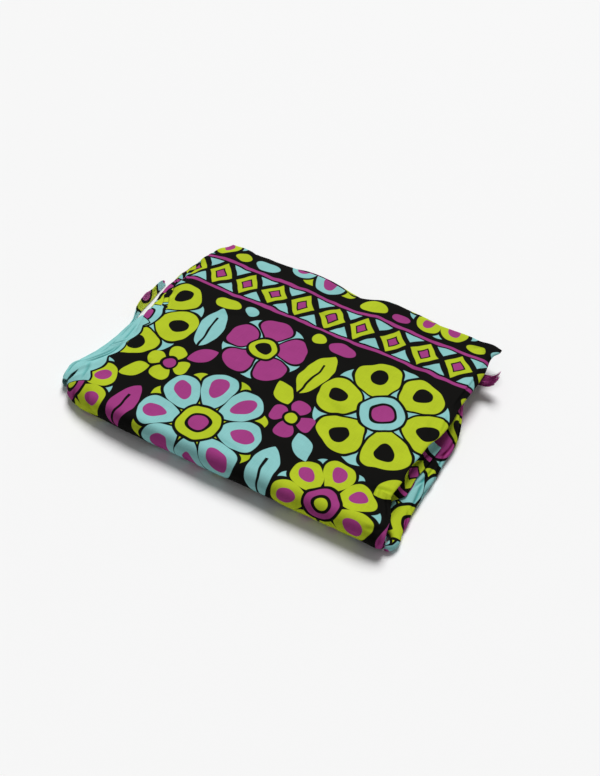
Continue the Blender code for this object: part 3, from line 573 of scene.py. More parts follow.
def cloth_piece(name, node, patches, creases=(), ripple=0.0, offset=(0.0, 0.0)):
    """A thin shell over patches of points, each patch (points, places on the flat cloth, flip)."""
    every_point = np.concatenate([points.reshape(-1, 3) for points, places, flip in patches])
    every_place = np.concatenate([places.reshape(-1, 2) for points, places, flip in patches])
    # points of two patches that meet become one
    keys = np.round(every_point / WELD).astype(np.int64)
    first, inverse = np.unique(keys, axis=0, return_index=True, return_inverse=True)[1:]
    inverse = inverse.reshape(-1)
    points = every_point[first]
    cloth = every_place[first]
    quads = []
    start = 0
    for patch, places, flip in patches:
        rows, columns = patch.shape[:2]
        index = inverse[start:start + rows * columns].reshape(rows, columns)
        start += rows * columns
        quad = np.stack([index[:-1, :-1], index[:-1, 1:], index[1:, 1:], index[1:, :-1]], axis=-1)
        quad = quad.reshape(-1, 4)
        quads.append(quad[:, ::-1] if flip else quad)
    quads = np.concatenate(quads)
    quads = quads[np.linalg.norm(crossed(points, quads), axis=1) > SMALLEST_FACE]
    folded = crease_height(cloth, creases)
    height = folded + ripple * ripple_height(cloth)
    lifted = points + vertex_normals(points, quads) * height[:, None]
    lifted[:, 2] = np.where(points[:, 2] < ON_FLOOR, points[:, 2], np.maximum(lifted[:, 2], 0.0))
    # a face at a closed end has lost a corner
    faces = [list(dict.fromkeys(quad)) for quad in quads.tolist()]
    mesh = bpy.data.meshes.new(name)
    mesh.from_pydata((lifted * METRES).tolist(), [], [face for face in faces if len(face) >= 3])
    layer = mesh.uv_layers.new(name="cloth")
    loop_vertices = np.empty(len(mesh.loops), dtype=np.int32)
    mesh.loops.foreach_get("vertex_index", loop_vertices)
    layer.data.foreach_set("uv", (cloth[loop_vertices] + np.array(offset)).astype(np.float32).ravel())
    # how deep each point lies in a crease, which the materials turn into painted shade
    trough = mesh.attributes.new("trough", "FLOAT", "POINT")
    trough.data.foreach_set("value", np.clip(-folded, 0.0, 1.0).astype(np.float32))
    mesh.materials.append(PRINTED)
    mesh.materials.append(WRONG_SIDE)
    item = add_piece(name, mesh, node)
    solidify = item.modifiers.new("Cloth", "SOLIDIFY")
    solidify.thickness = CLOTH * METRES
    solidify.offset = -1.0
    solidify.material_offset = 1
    solidify.material_offset_rim = 1
    return item


# The print. It is a generic one: petalled flowers, leaves and buds on black, with a lozenge band.
TILE = (200.0, 200.0)
PRINT_START = (90.0, 178.0)  # how far the middle of the top lies from the chart's corner
PRINT_SCALE = 1.12  # how much larger than the chart the print is
LIME = (0.450, 0.555, 0.021)
MAGENTA = (0.350, 0.046, 0.216)
CYAN = (0.256, 0.564, 0.556)
BLACK = (0.0050, 0.0048, 0.0042)
EDGE_SHARPNESS = 3.5  # per millimetre: how hard a printed edge is
OUTLINE = 2.1  # black line around the front petals and the heart
HAND_WAVER = 6.0  # it is drawn by hand, so the outlines waver
HAND_NOISE = (0.055, 1.0, 0.4)  # scale, detail, roughness
BACK_PETAL_WIDTH = 0.86  # of a front petal's
PETAL_FLARE = (0.28, 0.86)  # a petal is widest past its middle
DROP_AWAY = 0.16  # outward, in shares of the petal
DROP_STRETCH = 1.25
LEAF_ROUNDNESS = 0.8
LEAF_TIP = 0.2
VEIN_HALF = 0.9
VEIN_END = 0.5  # share of the leaf's half length

# Flowers: u, v, turn, outer radius, inner radius, petals, petal half width, petal colour,
# colour of the petals behind, drop share, drop colour, heart radius, heart colour, eye radius, eye colour
FLOWERS = (
    (50, 83.5, 10, 45, 14, 8, 13.6, CYAN, LIME, 0.46, MAGENTA, 14.5, LIME, 6.4, MAGENTA),
    (150, 151.5, 0, 45.5, 15, 6, 18.4, LIME, CYAN, 0.38, BLACK, 15, CYAN, 7, MAGENTA),
    (50, 163.5, 25, 30.5, 9, 5, 13.6, MAGENTA, CYAN, 0, None, 10, LIME, 3.8, BLACK),
    (150, 70.5, 40, 33, 9.5, 7, 11.6, LIME, CYAN, 0.42, MAGENTA, 10.5, MAGENTA, 4, LIME),
    (101, 118, 0, 16.5, 3.6, 4, 7.8, MAGENTA, None, 0, None, 4.4, LIME, 0, None),
    (0, 118, 0, 16.5, 3.6, 4, 7.8, LIME, None, 0, None, 4.4, MAGENTA, 0, None),
)
# Leaves: u, v, turn, half length, half width, colour, vein
LEAVES = (
    (105.5, 72, 96, 21, 9.6, CYAN, True),
    (94.5, 161, 84, 22, 10, LIME, True),
    (4.5, 163, 98, 22, 10, CYAN, True),
    (195.5, 72, 86, 19, 8.6, MAGENTA, True),
    (83.5, 135.5, 135, 11.5, 6.4, LIME, False),
    (118.5, 101, 135, 11, 6.2, CYAN, False),
    (17, 135.5, 45, 11.5, 6.4, MAGENTA, False),
    (182.5, 101, 45, 11, 6.2, LIME, False),
)
# Buds: u, v, half length along u, half length along v, colour
BUDS = (
    (97.5, 43, 11, 5.6, LIME),
    (120.5, 42, 6.5, 4.2, MAGENTA),
    (2.5, 43, 11, 5.6, CYAN),
    (180.5, 42, 6.5, 4.2, LIME),
    (98.5, 191.5, 11, 5.8, MAGENTA),
    (78.5, 192.5, 5.6, 4.4, LIME),
    (1, 191.5, 11, 5.8, LIME),
    (21, 192.5, 5.6, 4.4, CYAN),
)
# The lozenge band, in v, and the lines along it: distance from its edge, colour
BAND = (5.0, 31.0)
BAND_STEP = 25.0
BAND_SHARPNESS = 22.0
BAND_LINES = ((5.6, BLACK), (3.9, MAGENTA), (1.2, BLACK))
LOZENGE_RINGS = ((1.0, LIME), (0.54, BLACK), (0.4, MAGENTA))
LOZENGE_HALF = (10.6, 0.94)  # along, and across in shares of the band
POINT_HALF = (10.2, 0.9)
POINT_SIZE = 0.72
POINT_ROOM = 0.2
# The plain strip down the left of the top, with a scalloped edge
SELVEDGE_FROM = 1500.0  # places past this u lie on the strip too
STRIP_EDGE = -137.0  # in u
STRIP_STRAIGHT = (-93.0, -16.0)  # in v, and past either end it bends away
STRIP_LEAN = 2.6
SCALLOP = 21.0
SCALLOP_DEPTH = 4.6

# The cloth
THREAD = 0.55  # distance between two threads of the weave
WEAVE_HEIGHT = 0.02
YARN_HEIGHT = 0.05
SLUB = (2.2, 0.09)  # scale of the yarns' unevenness across and along them
PALE = (0.42, 0.40, 0.40)  # what the wrong side's colour is mixed with
PALE_SHARE = 0.42
CLOUD_TONE = (0.16, 0.92)  # of the dye: how much it varies, and its least
YARN_TONE = (0.22, 0.78)
CLOUD = (0.07, 3.0, 0.6)  # the dye's noise: scale, detail, roughness
WEAVE_STRENGTH = 0.6


class Net:
    """Short ways to add nodes to a tree. An argument is a socket or a number."""

    def __init__(self, tree):
        self.tree = tree

    def node(self, kind, inputs, **settings):
        node = self.tree.nodes.new("ShaderNode" + kind)
        for name, value in settings.items():
            setattr(node, name, value)
        for key, value in inputs:
            if isinstance(value, bpy.types.NodeSocket):
                self.tree.links.new(value, node.inputs[key])
            else:
                node.inputs[key].default_value = value
        return node

    def math(self, operation, *values, clamp=False):
        return self.node("Math", enumerate(values), operation=operation, use_clamp=clamp).outputs[0]

    def times(self, first, second):
        return self.math("MULTIPLY", first, second)

    def times_plus(self, first, second, third, clamp=False):
        return self.math("MULTIPLY_ADD", first, second, third, clamp=clamp)

    def minus(self, first, second):
        return self.math("SUBTRACT", first, second)

    def vector(self, operation, *values):
        return self.node("VectorMath", enumerate(values), operation=operation).outputs[0]

    def length(self, vector):
        return self.node("VectorMath", [(0, vector)], operation="LENGTH").outputs["Value"]

    def mix(self, share, first, second):
        inputs = [(0, share)]
        for key, value in ((6, first), (7, second)):
            inputs.append((key, (*value, 1.0) if isinstance(value, tuple) else value))
        return self.node("Mix", inputs, data_type="RGBA").outputs[2]

    def parts(self, vector):
        return self.node("SeparateXYZ", [(0, vector)]).outputs[:2]

    def joined(self, x, y, z=0.0):
        return self.node("CombineXYZ", enumerate((x, y, z))).outputs[0]

    def toned(self, colour, tone):
        return self.vector("MULTIPLY", colour, self.joined(tone, tone, tone))

    def noise(self, vector, scale, detail=2.0, roughness=0.5, output="Fac"):
        inputs = (("Vector", vector), ("Scale", scale), ("Detail", detail), ("Roughness", roughness))
        return self.node("TexNoise", inputs).outputs[output]

    def under(self, measure, limit, sharpness=EDGE_SHARPNESS):
        """1 where a measure is under a limit, with a short soft edge."""
        return self.times_plus(self.minus(limit, measure), sharpness, 0.5, clamp=True)

    def local(self, place, u, v, turn=0.0):
        """The place measured from the nearest repeat of a motif's centre."""
        moved = self.vector("SUBTRACT", place, (u, v, 0.0))
        half = (TILE[0] / 2.0, TILE[1] / 2.0, 1.0)
        wrapped = self.vector("WRAP", moved, half, tuple(-value for value in half))
        if not turn:
            return wrapped
        inputs = (("Vector", wrapped), ("Angle", math.radians(-turn)))
        return self.node("VectorRotate", inputs, rotation_type="Z_AXIS").outputs[0]

    def oval(self, x, y, half_x, half_y):
        """Soft mask of an oval about the origin."""
        scaled = self.joined(self.math("DIVIDE", x, half_x), self.math("DIVIDE", y, half_y))
        return self.under(self.length(scaled), 1.0, EDGE_SHARPNESS * min(half_x, half_y))

    def petals(self, spot, sector, shift):
        """The place measured along and across the petal that it lies nearest to."""
        x, y = self.parts(spot)
        reach = self.length(spot)
        angle = self.math("ADD", self.math("ARCTAN2", y, x), shift)
        from_petal = self.math("WRAP", angle, sector, -sector)
        return (self.times(reach, self.math("COSINE", from_petal)),
                self.times(reach, self.math("SINE", from_petal)))

    def flower(self, colour, place, row):
        (u, v, turn, outer, inner, count, half_width, petal_colour, back_colour, drop, drop_colour,
         heart, heart_colour, eye, eye_colour) = row
        spot = self.local(place, u, v, turn)
        sector = math.pi / count
        half_length = (outer - inner) / 2.0
        middle = (outer + inner) / 2.0
        if back_colour:
            along, across = self.petals(spot, sector, sector)
            narrow = half_width * BACK_PETAL_WIDTH
            mask = self.oval(self.minus(along, middle), across, half_length, narrow)
            colour = self.mix(mask, colour, back_colour)
        along, across = self.petals(spot, sector, 0.0)
        from_middle = self.minus(along, middle)
        flare, width = PETAL_FLARE
        wide = self.times_plus(from_middle, flare / half_length, width)
        narrowed = self.math("DIVIDE", across, wide)
        if back_colour:
            mask = self.oval(from_middle, narrowed, half_length + OUTLINE, half_width + OUTLINE)
            colour = self.mix(mask, colour, BLACK)
        mask = self.oval(from_middle, narrowed, half_length, half_width)
        colour = self.mix(mask, colour, petal_colour)
        if drop:
            further = self.minus(from_middle, half_length * DROP_AWAY)
            long = half_length * drop * DROP_STRETCH
            mask = self.oval(further, narrowed, long, half_width * drop)
            colour = self.mix(mask, colour, drop_colour)
        reach = self.length(spot)
        for radius, disc_colour in ((heart, heart_colour), (eye, eye_colour)):
            if radius:
                colour = self.mix(self.under(reach, radius + OUTLINE), colour, BLACK)
                colour = self.mix(self.under(reach, radius), colour, disc_colour)
        return colour

    def leaf(self, colour, place, row):
        u, v, turn, half_length, half_width, leaf_colour, vein = row
        x, y = self.parts(self.local(place, u, v, turn))
        across = self.math("ABSOLUTE", y)
        along = self.math("DIVIDE", x, half_length)
        fullness = self.math("MAXIMUM", self.minus(1.0, self.times(along, along)), 0.0)
        rounded = self.math("POWER", fullness, LEAF_ROUNDNESS)
        width = self.times_plus(rounded, half_width + LEAF_TIP, -LEAF_TIP)
        mask = self.under(across, width)
        if vein:
            beside = self.minus(1.0, self.under(across, VEIN_HALF))
            tip = self.math("GREATER_THAN", along, VEIN_END)
            mask = self.times(mask, self.math("MAXIMUM", beside, tip))
        return self.mix(mask, colour, leaf_colour)

    def bud(self, colour, place, row):
        u, v, half_u, half_v, bud_colour = row
        x, y = self.parts(self.local(place, u, v))
        return self.mix(self.oval(x, y, half_u, half_v), colour, bud_colour)

    def slanted(self, along, across, size, half):
        """Distance over slanted sides: 1 at the size, its second part in shares of a half."""
        return self.math("ADD", self.math("DIVIDE", along, size[0]),
                         self.math("DIVIDE", across, half * size[1]))

    def band(self, colour, place):
        """Lozenges in a row between two rows of points, edged with lines."""
        u, v = self.parts(place)
        low, high = BAND
        half = (high - low) / 2.0
        from_middle = self.minus(v, (low + high) / 2.0)
        out = self.math("ABSOLUTE", self.math("WRAP", from_middle, TILE[1] / 2.0, -TILE[1] / 2.0))
        for beyond, line_colour in BAND_LINES:
            colour = self.mix(self.under(out, half + beyond), colour, line_colour)
        step = self.math("PINGPONG", u, BAND_STEP / 2.0)
        lozenge = self.slanted(step, out, LOZENGE_HALF, half)
        for size, ring_colour in LOZENGE_RINGS:
            colour = self.mix(self.under(lozenge, size, BAND_SHARPNESS), colour, ring_colour)
        # points stand on both edges, between the lozenges
        back_step = self.minus(BAND_STEP / 2.0, step)
        from_edge = self.minus(half - POINT_ROOM, out)
        point = self.slanted(back_step, from_edge, POINT_HALF, half)
        above = self.math("GREATER_THAN", from_edge, 0.0)
        mask = self.times(self.under(point, POINT_SIZE, BAND_SHARPNESS), above)
        return self.mix(mask, colour, CYAN)

    def strip(self, colour, place):
        """The plain strip, with black along its scallops."""
        u, v = self.parts(place)
        arch = self.math("ABSOLUTE", self.math("SINE", self.times(v, math.pi / SCALLOP)))
        low, high = STRIP_STRAIGHT
        past = self.math("ABSOLUTE", self.minus(v, (low + high) / 2.0))
        past = self.math("MAXIMUM", self.minus(past, (high - low) / 2.0), 0.0)
        inside = self.times_plus(past, STRIP_LEAN, self.minus(u, STRIP_EDGE))
        inside = self.times_plus(arch, -SCALLOP_DEPTH, inside)
        colour = self.mix(self.under(inside, OUTLINE), colour, BLACK)
        colour = self.mix(self.under(inside, 0.0), colour, CYAN)
        return self.mix(self.math("GREATER_THAN", u, SELVEDGE_FROM), colour, CYAN)


def print_group():
    """The printed design as a group: place on the flat cloth in, colour out."""
    group = bpy.data.node_groups.new("Print", "ShaderNodeTree")
    group.interface.new_socket("Place", in_out="INPUT", socket_type="NodeSocketVector")
    group.interface.new_socket("Colour", in_out="OUTPUT", socket_type="NodeSocketColor")
    entry = group.nodes.new("NodeGroupInput").outputs[0]
    leave = group.nodes.new("NodeGroupOutput")
    net = Net(group)
    waver = net.vector("SUBTRACT", net.noise(entry, *HAND_NOISE, "Color"), (0.5, 0.5, 0.5))
    cloth_place = net.vector("MULTIPLY_ADD", waver, (HAND_WAVER, HAND_WAVER, 0.0), entry)
    place = net.vector("ADD", cloth_place, (*PRINT_START, 0.0))
    place = net.vector("MULTIPLY", place, (1.0 / PRINT_SCALE,) * 3)
    colour = BLACK
    for draw, rows in ((net.flower, FLOWERS), (net.leaf, LEAVES), (net.bud, BUDS)):
        for row in rows:
            colour = draw(colour, place, row)
    colour = net.strip(net.band(colour, place), cloth_place)
    group.links.new(colour, leave.inputs[0])
    return group


def new_material(name, values):
    """A material with these constants on its shader, the shader itself and the net of its nodes."""
    material = bpy.data.materials.new(name)
    material.use_nodes = True
    shader = material.node_tree.nodes["Principled BSDF"]
    for socket, value in values:
        shader.inputs[socket].default_value = value
    return material, shader, Net(material.node_tree)


CLOTH_SURFACE = (("Roughness", 0.78), ("Specular IOR Level", 0.03), ("Sheen Weight", 0.006),
                 ("Sheen Roughness", 0.5))
# A single ply with daylight behind it glows a little
GLOW = (("Subsurface Weight", 0.8), ("Subsurface Radius", (1.0, 1.0, 1.0)), ("Subsurface Scale", 0.003))
# Painted shade on the fringe, measured along X from FRINGE_START: darkest at the roots, lighter over
# FRINGE_REACH towards the tips
FRINGE_START = 0.122  # in metres, along X
FRINGE_REACH = 0.016
FRINGE_GRAIN = 900.0
GRAIN_TONE = (1.1, 0.2)  # rise and least
# painted shade that darkens the yarns towards their roots: rise and least
ROOT_SHADE_TONE = (1.5, 0.5)
FRINGE_SURFACE = (("Roughness", 0.75), ("Specular IOR Level", 0.1))
FLOOR_SURFACE = (("Base Color", (0.93, 0.93, 0.93, 1.0)), ("Roughness", 0.9))


def cloth_material(name, values=CLOTH_SURFACE, faded=False):
    """Printed plain weave: colour, thread by thread relief and a soft sheen. The wrong side is paler."""
    material, shader, net = new_material(name, values)
    place = net.node("UVMap", (), uv_map="cloth").outputs[0]
    u, v = net.parts(place)
    # uneven dye and slubs in the yarns
    cloud = net.noise(place, *CLOUD)
    across, along = SLUB
    warp = net.noise(net.joined(net.times(u, across), net.times(v, along)), 1.0)
    weft = net.noise(net.joined(net.times(u, along), net.times(v, across)), 1.0)
    yarn = net.math("ADD", warp, weft)
    tone = net.times(net.times_plus(cloud, *CLOUD_TONE), net.times_plus(yarn, *YARN_TONE))
    colour = net.toned(net.node("Group", [(0, place)], node_tree=PRINT).outputs[0], tone)
    # painted shade: cloth in a crease is darkened and its colour made fuller, the more the deeper the
    # crease
    trough = net.node("Attribute", (), attribute_name="trough").outputs["Fac"]
    colour = net.mix(trough, colour, net.vector("MULTIPLY", colour, colour))
    if faded:
        colour = net.mix(PALE_SHARE, colour, PALE)
    weave = net.times(net.math("SINE", net.times(u, math.pi / THREAD)),
                      net.math("SINE", net.times(v, math.pi / THREAD)))
    relief = net.times_plus(weave, WEAVE_HEIGHT, net.times(yarn, YARN_HEIGHT))
    bump = net.node("Bump", (("Strength", WEAVE_STRENGTH), ("Distance", METRES), ("Height", relief)))
    net.tree.links.new(colour, shader.inputs["Base Color"])
    net.tree.links.new(bump.outputs[0], shader.inputs["Normal"])
    return material


def fringe_material():
    """Yarns with painted shade, which brighten from their dark roots to their tips."""
    material, shader, net = new_material("Fringe", FRINGE_SURFACE)
    place = net.node("TexCoord", ()).outputs["Object"]
    tone = net.times_plus(net.noise(place, FRINGE_GRAIN), *GRAIN_TONE)
    along = net.math("DIVIDE", net.minus(net.parts(place)[0], FRINGE_START), FRINGE_REACH)
    tone = net.times(tone, net.times_plus(along, *ROOT_SHADE_TONE))
    net.tree.links.new(net.toned(MAGENTA, tone), shader.inputs["Base Color"])
    return material


PRINT = print_group()
PRINTED = cloth_material("Printed cloth")
WRONG_SIDE = cloth_material("Wrong side", faded=True)
SINGLE_PLY = cloth_material("Single ply", CLOTH_SURFACE + GLOW)
FRINGE = fringe_material()


def waves(rows, at, phase):
    return sum(height * math.sin(at / length + share * phase) for height, length, share in rows)


def pleat_section(y):
    """Section through the narrow pleats, which waver and draw together towards the back."""
    draw = 1.0 - PLEAT_DRAW * ease(*PLEAT_DRAW_LINE, y)
    shoulder = PLEAT_SHOULDER[0] + PLEAT_SHOULDER_AWAY * (1.0 - draw)
    rows = [*PLEAT_LEAD, (shoulder, PLEAT_SHOULDER[1])]
    last = len(PLEAT_NOSES) - 1
    for number, (inward, height, tuck) in enumerate(PLEAT_NOSES):
        phase = PLEAT_PHASE * number
        waver = waves(PLEAT_WAVER, y, phase)
        nose = max(inward * draw + (waver if number < last else LAST_WAVER * waver), 0.0)
        top = height + waves(PLEAT_SWAY, y, phase)
        if number > 0:
            rows.append((nose + tuck * PLEAT_ABOVE[0], top + PLEAT_PLY * PLEAT_ABOVE[1]))
        rows += [(nose + further, top + PLEAT_PLY * up) for further, up in PLEAT_ROUND]
        if number < last:
            rows.append((nose + tuck, top - PLEAT_PLY * PLEAT_BELOW))
            rows.append((nose + tuck + PLEAT_TURN, (top + PLEAT_NOSES[number + 1][1]) / 2.0))
    rows.append((PLEAT_FOOT, PLEAT_NOSES[-1][1] - PLEAT_PLY))
    return border_rows(rows)


def left_section(inner_y):
    rows = border_rows(LIP_ROWS)
    pleated = ease(*PLEATS_START, inner_y)
    if pleated > 0.0:
        rows = mix_rows(rows, pleat_section(inner_y), pleated)
    return mix_rows(rows, border_rows(CORNER_ROWS), ease(*CORNER_START, inner_y))


def front_section(inner_x):
    """Section of the half round roll, with a flat lead above it and a flat tuck below it."""
    near_end = ease(SHORT_TUCK_START, RIGHT_EDGE[1][1], inner_x)
    middle = STACK_HEIGHT / 2.0
    rows = [(inward, STACK_HEIGHT) for inward in ROLL_LEAD]
    for step in range(ROLL_STEPS + 1):
        angle = math.pi / 2.0 - math.pi * step / ROLL_STEPS
        rows.append((ROLL_HALF_WIDTH * (1.0 - math.cos(angle)), middle + middle * math.sin(angle)))
    for whole, short in zip(ROLL_TUCK, ROLL_TUCK_AT_END):
        rows.append((whole + (short - whole) * near_end, 0.0))
    return mix_rows(border_rows(CORNER_ROWS), border_rows(rows), ease(*CORNER_END, inner_x))


def turn_under(inner, outer, rows, down=(0.0, 0.0, -1.0)):
    """A free edge that goes out to its outer point and turns under, and its places on the flat cloth."""
    rows = np.asarray(rows, float)
    outward = np.asarray(outer, float) - inner
    share = 1.0 - rows[:, 0] / rows[0, 0]
    line = spline(inner + outward * share[:, None] + np.asarray(down) * rows[:, 1][:, None], steps=2)
    plan = outward[:2] / max(np.linalg.norm(outward[:2]), 1e-9)
    return line, inner[:2] + plan * arc_lengths(line)[:, None]


def divided(table):
    """Shares at every division, from a table of shares and divisions."""
    shares, divisions = np.array(table).T
    return np.interp(np.arange(divisions[-1] + 1), divisions, shares)


def top_grid():
    """The smooth middle of the top ply."""
    share_x = divided(TOP_COLUMN_SHARES)
    share_y = divided(TOP_ROW_SHARES)
    line_y = INNER_FRONT + (BACK_LINE - INNER_FRONT) * share_y
    last_x = read_row(RIGHT_EDGE, line_y) - FLAT_TURN[0][0]
    x = INNER_LEFT + (last_x[:, :1] - INNER_LEFT) * share_x[None, :]
    back = back_edge(x.ravel()).reshape(x.shape) - BACK_TURN[0][0]
    y = INNER_FRONT + (back - INNER_FRONT) * share_y[:, None]
    return np.stack([x, y, top_height(x, y)], axis=-1)


def top_border(grid):
    """Lines from the smooth middle over the left side and over the front."""
    lines = []
    border = [(row, 0) for row in range(TOP_ROWS, 0, -1)]
    border += [(0, column) for column in range(TOP_COLUMNS + 1)]
    for row, column in border:
        inner = grid[row, column]
        if row > 0:
            outer = read_row(TOP_LEFT_LINE, inner[1])[0]
            rows = left_section(inner[1])
        else:
            outer = read_row(TOP_FRONT_LINE, inner[0])[0]
            rows = front_section(inner[0])
        near = outer + LIFT_PROBE * (inner[:2] - outer)
        lift = float(top_height(near[0], near[1])) / STACK_HEIGHT
        lift *= 1.0 + BACK_LEFT_RISE * ease(BACK_LEFT_RISE_FROM, BACK_LINE, inner[1])
        section = over_edge(inner, outer, rows, lift)
        near_end = smoothstep(END_FALL_START - END_BULGE_LEAD, RIGHT_EDGE[0][1], section[:, 0])
        near_end = near_end * smoothstep(0.0, END_BULGE_DEPTH, np.abs(section[:, 1] - inner[1]))
        section[:, 0] += END_BULGE * near_end * section[:, 2] / STACK_HEIGHT
        line = np.vstack([inner, section])
        outward = (outer - inner[:2]) / np.linalg.norm(outer - inner[:2])
        lines.append((line, inner[:2] + outward * arc_lengths(line)[:, None]))
    return lines


def top_edges(grid, end_line, end_places):
    """The free edge: down the roll's right end, up the right side and along the back."""
    down = np.cross(np.gradient(end_line, axis=0), (1.0, 0.0, 0.0))
    down /= np.linalg.norm(down, axis=1)[:, None]
    if down[0, 2] > 0.0:
        down = -down
    lines = []
    for number in range(len(end_line) - 1, 0, -1):
        point = end_line[number]
        place = end_places[number]
        rows = mix_rows(FLAT_TURN, END_TURN, ease(*END_TURN_LINE, place[1]))
        foot = END_FOOT * ease(*END_FOOT_HEIGHTS, point[2])
        line = turn_under(point, point + np.array([rows[0, 0] + foot, 0.0, 0.0]), rows, down[number])[0]
        lines.append((line, place + np.array([1.0, 0.0]) * arc_lengths(line)[:, None]))
    for row in range(TOP_ROWS + 1):
        inner = grid[row, TOP_COLUMNS]
        edge_x, slant = read_row(RIGHT_EDGE, inner[1])[0]
        edge_y = back_edge(edge_x)[0] if row == TOP_ROWS else inner[1]
        rows = mix_rows(FLAT_TURN, BAND_TURN, slant)
        rows = mix_rows(rows, END_TURN, ease(*END_TURN_LINE, inner[1]))
        lines.append(turn_under(inner, (edge_x, edge_y, inner[2]), rows))
    corner_x = RIGHT_EDGE[-1][1]
    for column in range(TOP_COLUMNS - 1, -1, -1):
        inner = grid[TOP_ROWS, column]
        whole = ease(INNER_LEFT, INNER_LEFT + BACK_SHORT, inner[0])
        reach = BACK_TURN[0][0] * (BACK_SHARE + (1.0 - BACK_SHARE) * whole)
        near_corner = ease(corner_x - BACK_CORNER[0], corner_x - BACK_CORNER[1], inner[0])
        rows = mix_rows(BACK_TURN, FLAT_TURN, near_corner)
        outer_y = inner[1] + reach
        lines.append(turn_under(inner, (inner[0], outer_y, float(top_height(inner[0], outer_y))), rows))
    return lines


def patch_of(lines, flip=False):
    """A patch of the cloth from its lines, each with its places on the flat cloth."""
    points, places = zip(*lines)
    return np.array(points), np.array(places), flip


def build_top():
    grid = top_grid()
    border = top_border(grid)
    edges = top_edges(grid, *border[-1])
    patches = [(grid, grid[..., :2], False), patch_of(border), patch_of(edges)]
    return cloth_piece("top_cloth", "top_stretch", patches, TOP_CREASES, ripple=1.0)


def fold_piece(node, table, section, creases, offset, count, steps, flip=True, ripple=0.6):
    """A fold whose sections follow each other along Y, each shaped by the table's row at its place."""
    ys = np.linspace(table[0][0], table[-1][0], count)
    lines = []
    for y, row in zip(ys, read_row(table, ys)):
        line = spline(section(y, *row), steps)
        lines.append((line, np.column_stack([arc_lengths(line), np.full(len(line), y)])))
    return cloth_piece(node + "_cloth", node, [patch_of(lines, flip)], creases, ripple, offset)


def left_fold_section(y, nose, sunk, width, height):
    rows = mix_rows(LEFT_FOLD_HIGH, LEFT_FOLD_LOW, sunk) * (width, height)
    return over_edge((0.0, y), (nose, y), rows)


def loose_leaf_section(y, foot_x, foot_y, top_x, top_y, top_z):
    end_from, end_to = LOOSE_LEAF_END
    into_end = float(np.clip((foot_y - end_from) / (end_to - end_from), 0.0, 1.0))
    top_z *= LOOSE_LEAF_LOW + (1.0 - LOOSE_LEAF_LOW) * math.sqrt(1.0 - into_end ** 2)
    line = []
    for share in np.linspace(0.0, 1.0, LOOSE_LEAF_POINTS):
        bow = LOOSE_LEAF_BOW * math.sin(math.pi * share)
        line.append((foot_x + (top_x - foot_x) * share - bow * (1.0 - share),
                     foot_y + (top_y - foot_y) * share,
                     LOOSE_LEAF_FOOT + (top_z - LOOSE_LEAF_FOOT) * share))
    return line


def lower_fold_section(y, nose, bulge, curl):
    rows = mix_rows(mix_rows(LEDGE_ROWS, BULGE_ROWS, bulge), CURL_ROWS, curl)
    from_end = min((y - RIGHT_NOSE[0][0]) / CURL_ROUNDING, 1.0)
    size = CURL_HOLE + (1.0 - CURL_HOLE) * math.sqrt(1.0 - (1.0 - from_end) ** 2)
    rows = np.array(CURL_MIDDLE) + (rows - np.array(CURL_MIDDLE)) * size
    return over_edge((0.0, y), (nose, y), rows)


def side_fold_section(y, x):
    back_in = SIDE_FOLD_TUCK * ease(SIDE_FOLD_TUCK_FROM, SIDE_FOLD_LINE[0][0], y)
    return over_edge((0.0, y), (x - back_in, y), SIDE_FOLD_ROWS)


def build_second_ply():
    xs = np.linspace(SECOND_PLY_PEEK[0][0], SECOND_PLY_PEEK[-1][0], SECOND_PLY_LINES)
    lines = []
    for x, back in zip(xs, back_edge(xs) + read_row(SECOND_PLY_PEEK, xs)[:, 0]):
        across = np.full(SECOND_PLY_ROWS, x)
        ys = SECOND_PLY_FRONT + (back - SECOND_PLY_FRONT) * np.linspace(0.0, 1.0, SECOND_PLY_ROWS)
        line = np.column_stack([across, ys, top_height(across, ys) - SECOND_PLY_DEPTH])
        under_edge = [line[-1] + np.array([0.0, out, rise]) for out, rise in SECOND_PLY_TURN]
        line = np.vstack([line, under_edge])
        lines.append((line, np.column_stack([np.full(len(line), x), arc_lengths(line)])))
    patches = [patch_of(lines, flip=True)]
    return cloth_piece("second_ply_cloth", "second_ply", patches, ripple=0.4, offset=SECOND_PLACE)


def build_under():
    """Ply that lies on the floor, its edges turned up a little into the stack."""
    half_x = (UNDER_RIGHT - UNDER_LEFT) / 2.0
    half_y = (UNDER_BACK - UNDER_FRONT) / 2.0
    centre = np.array([(UNDER_RIGHT + UNDER_LEFT) / 2.0, (UNDER_BACK + UNDER_FRONT) / 2.0])
    rim = []
    for turn in np.linspace(0.0, 2.0 * math.pi, UNDER_POINTS):
        cosine = math.cos(turn)
        sine = math.sin(turn)
        rim.append((half_x * math.copysign(abs(cosine) ** UNDER_SQUARENESS, cosine),
                    half_y * math.copysign(abs(sine) ** UNDER_SQUARENESS, sine)))
    lines = []
    for share, rise in UNDER_RINGS:
        ring = centre + np.array(rim) * share
        lines.append((np.column_stack([ring, np.full(len(ring), rise)]), ring))
    return cloth_piece("under_cloth", "under_stretch", [patch_of(lines)], offset=UNDER_PLACE)


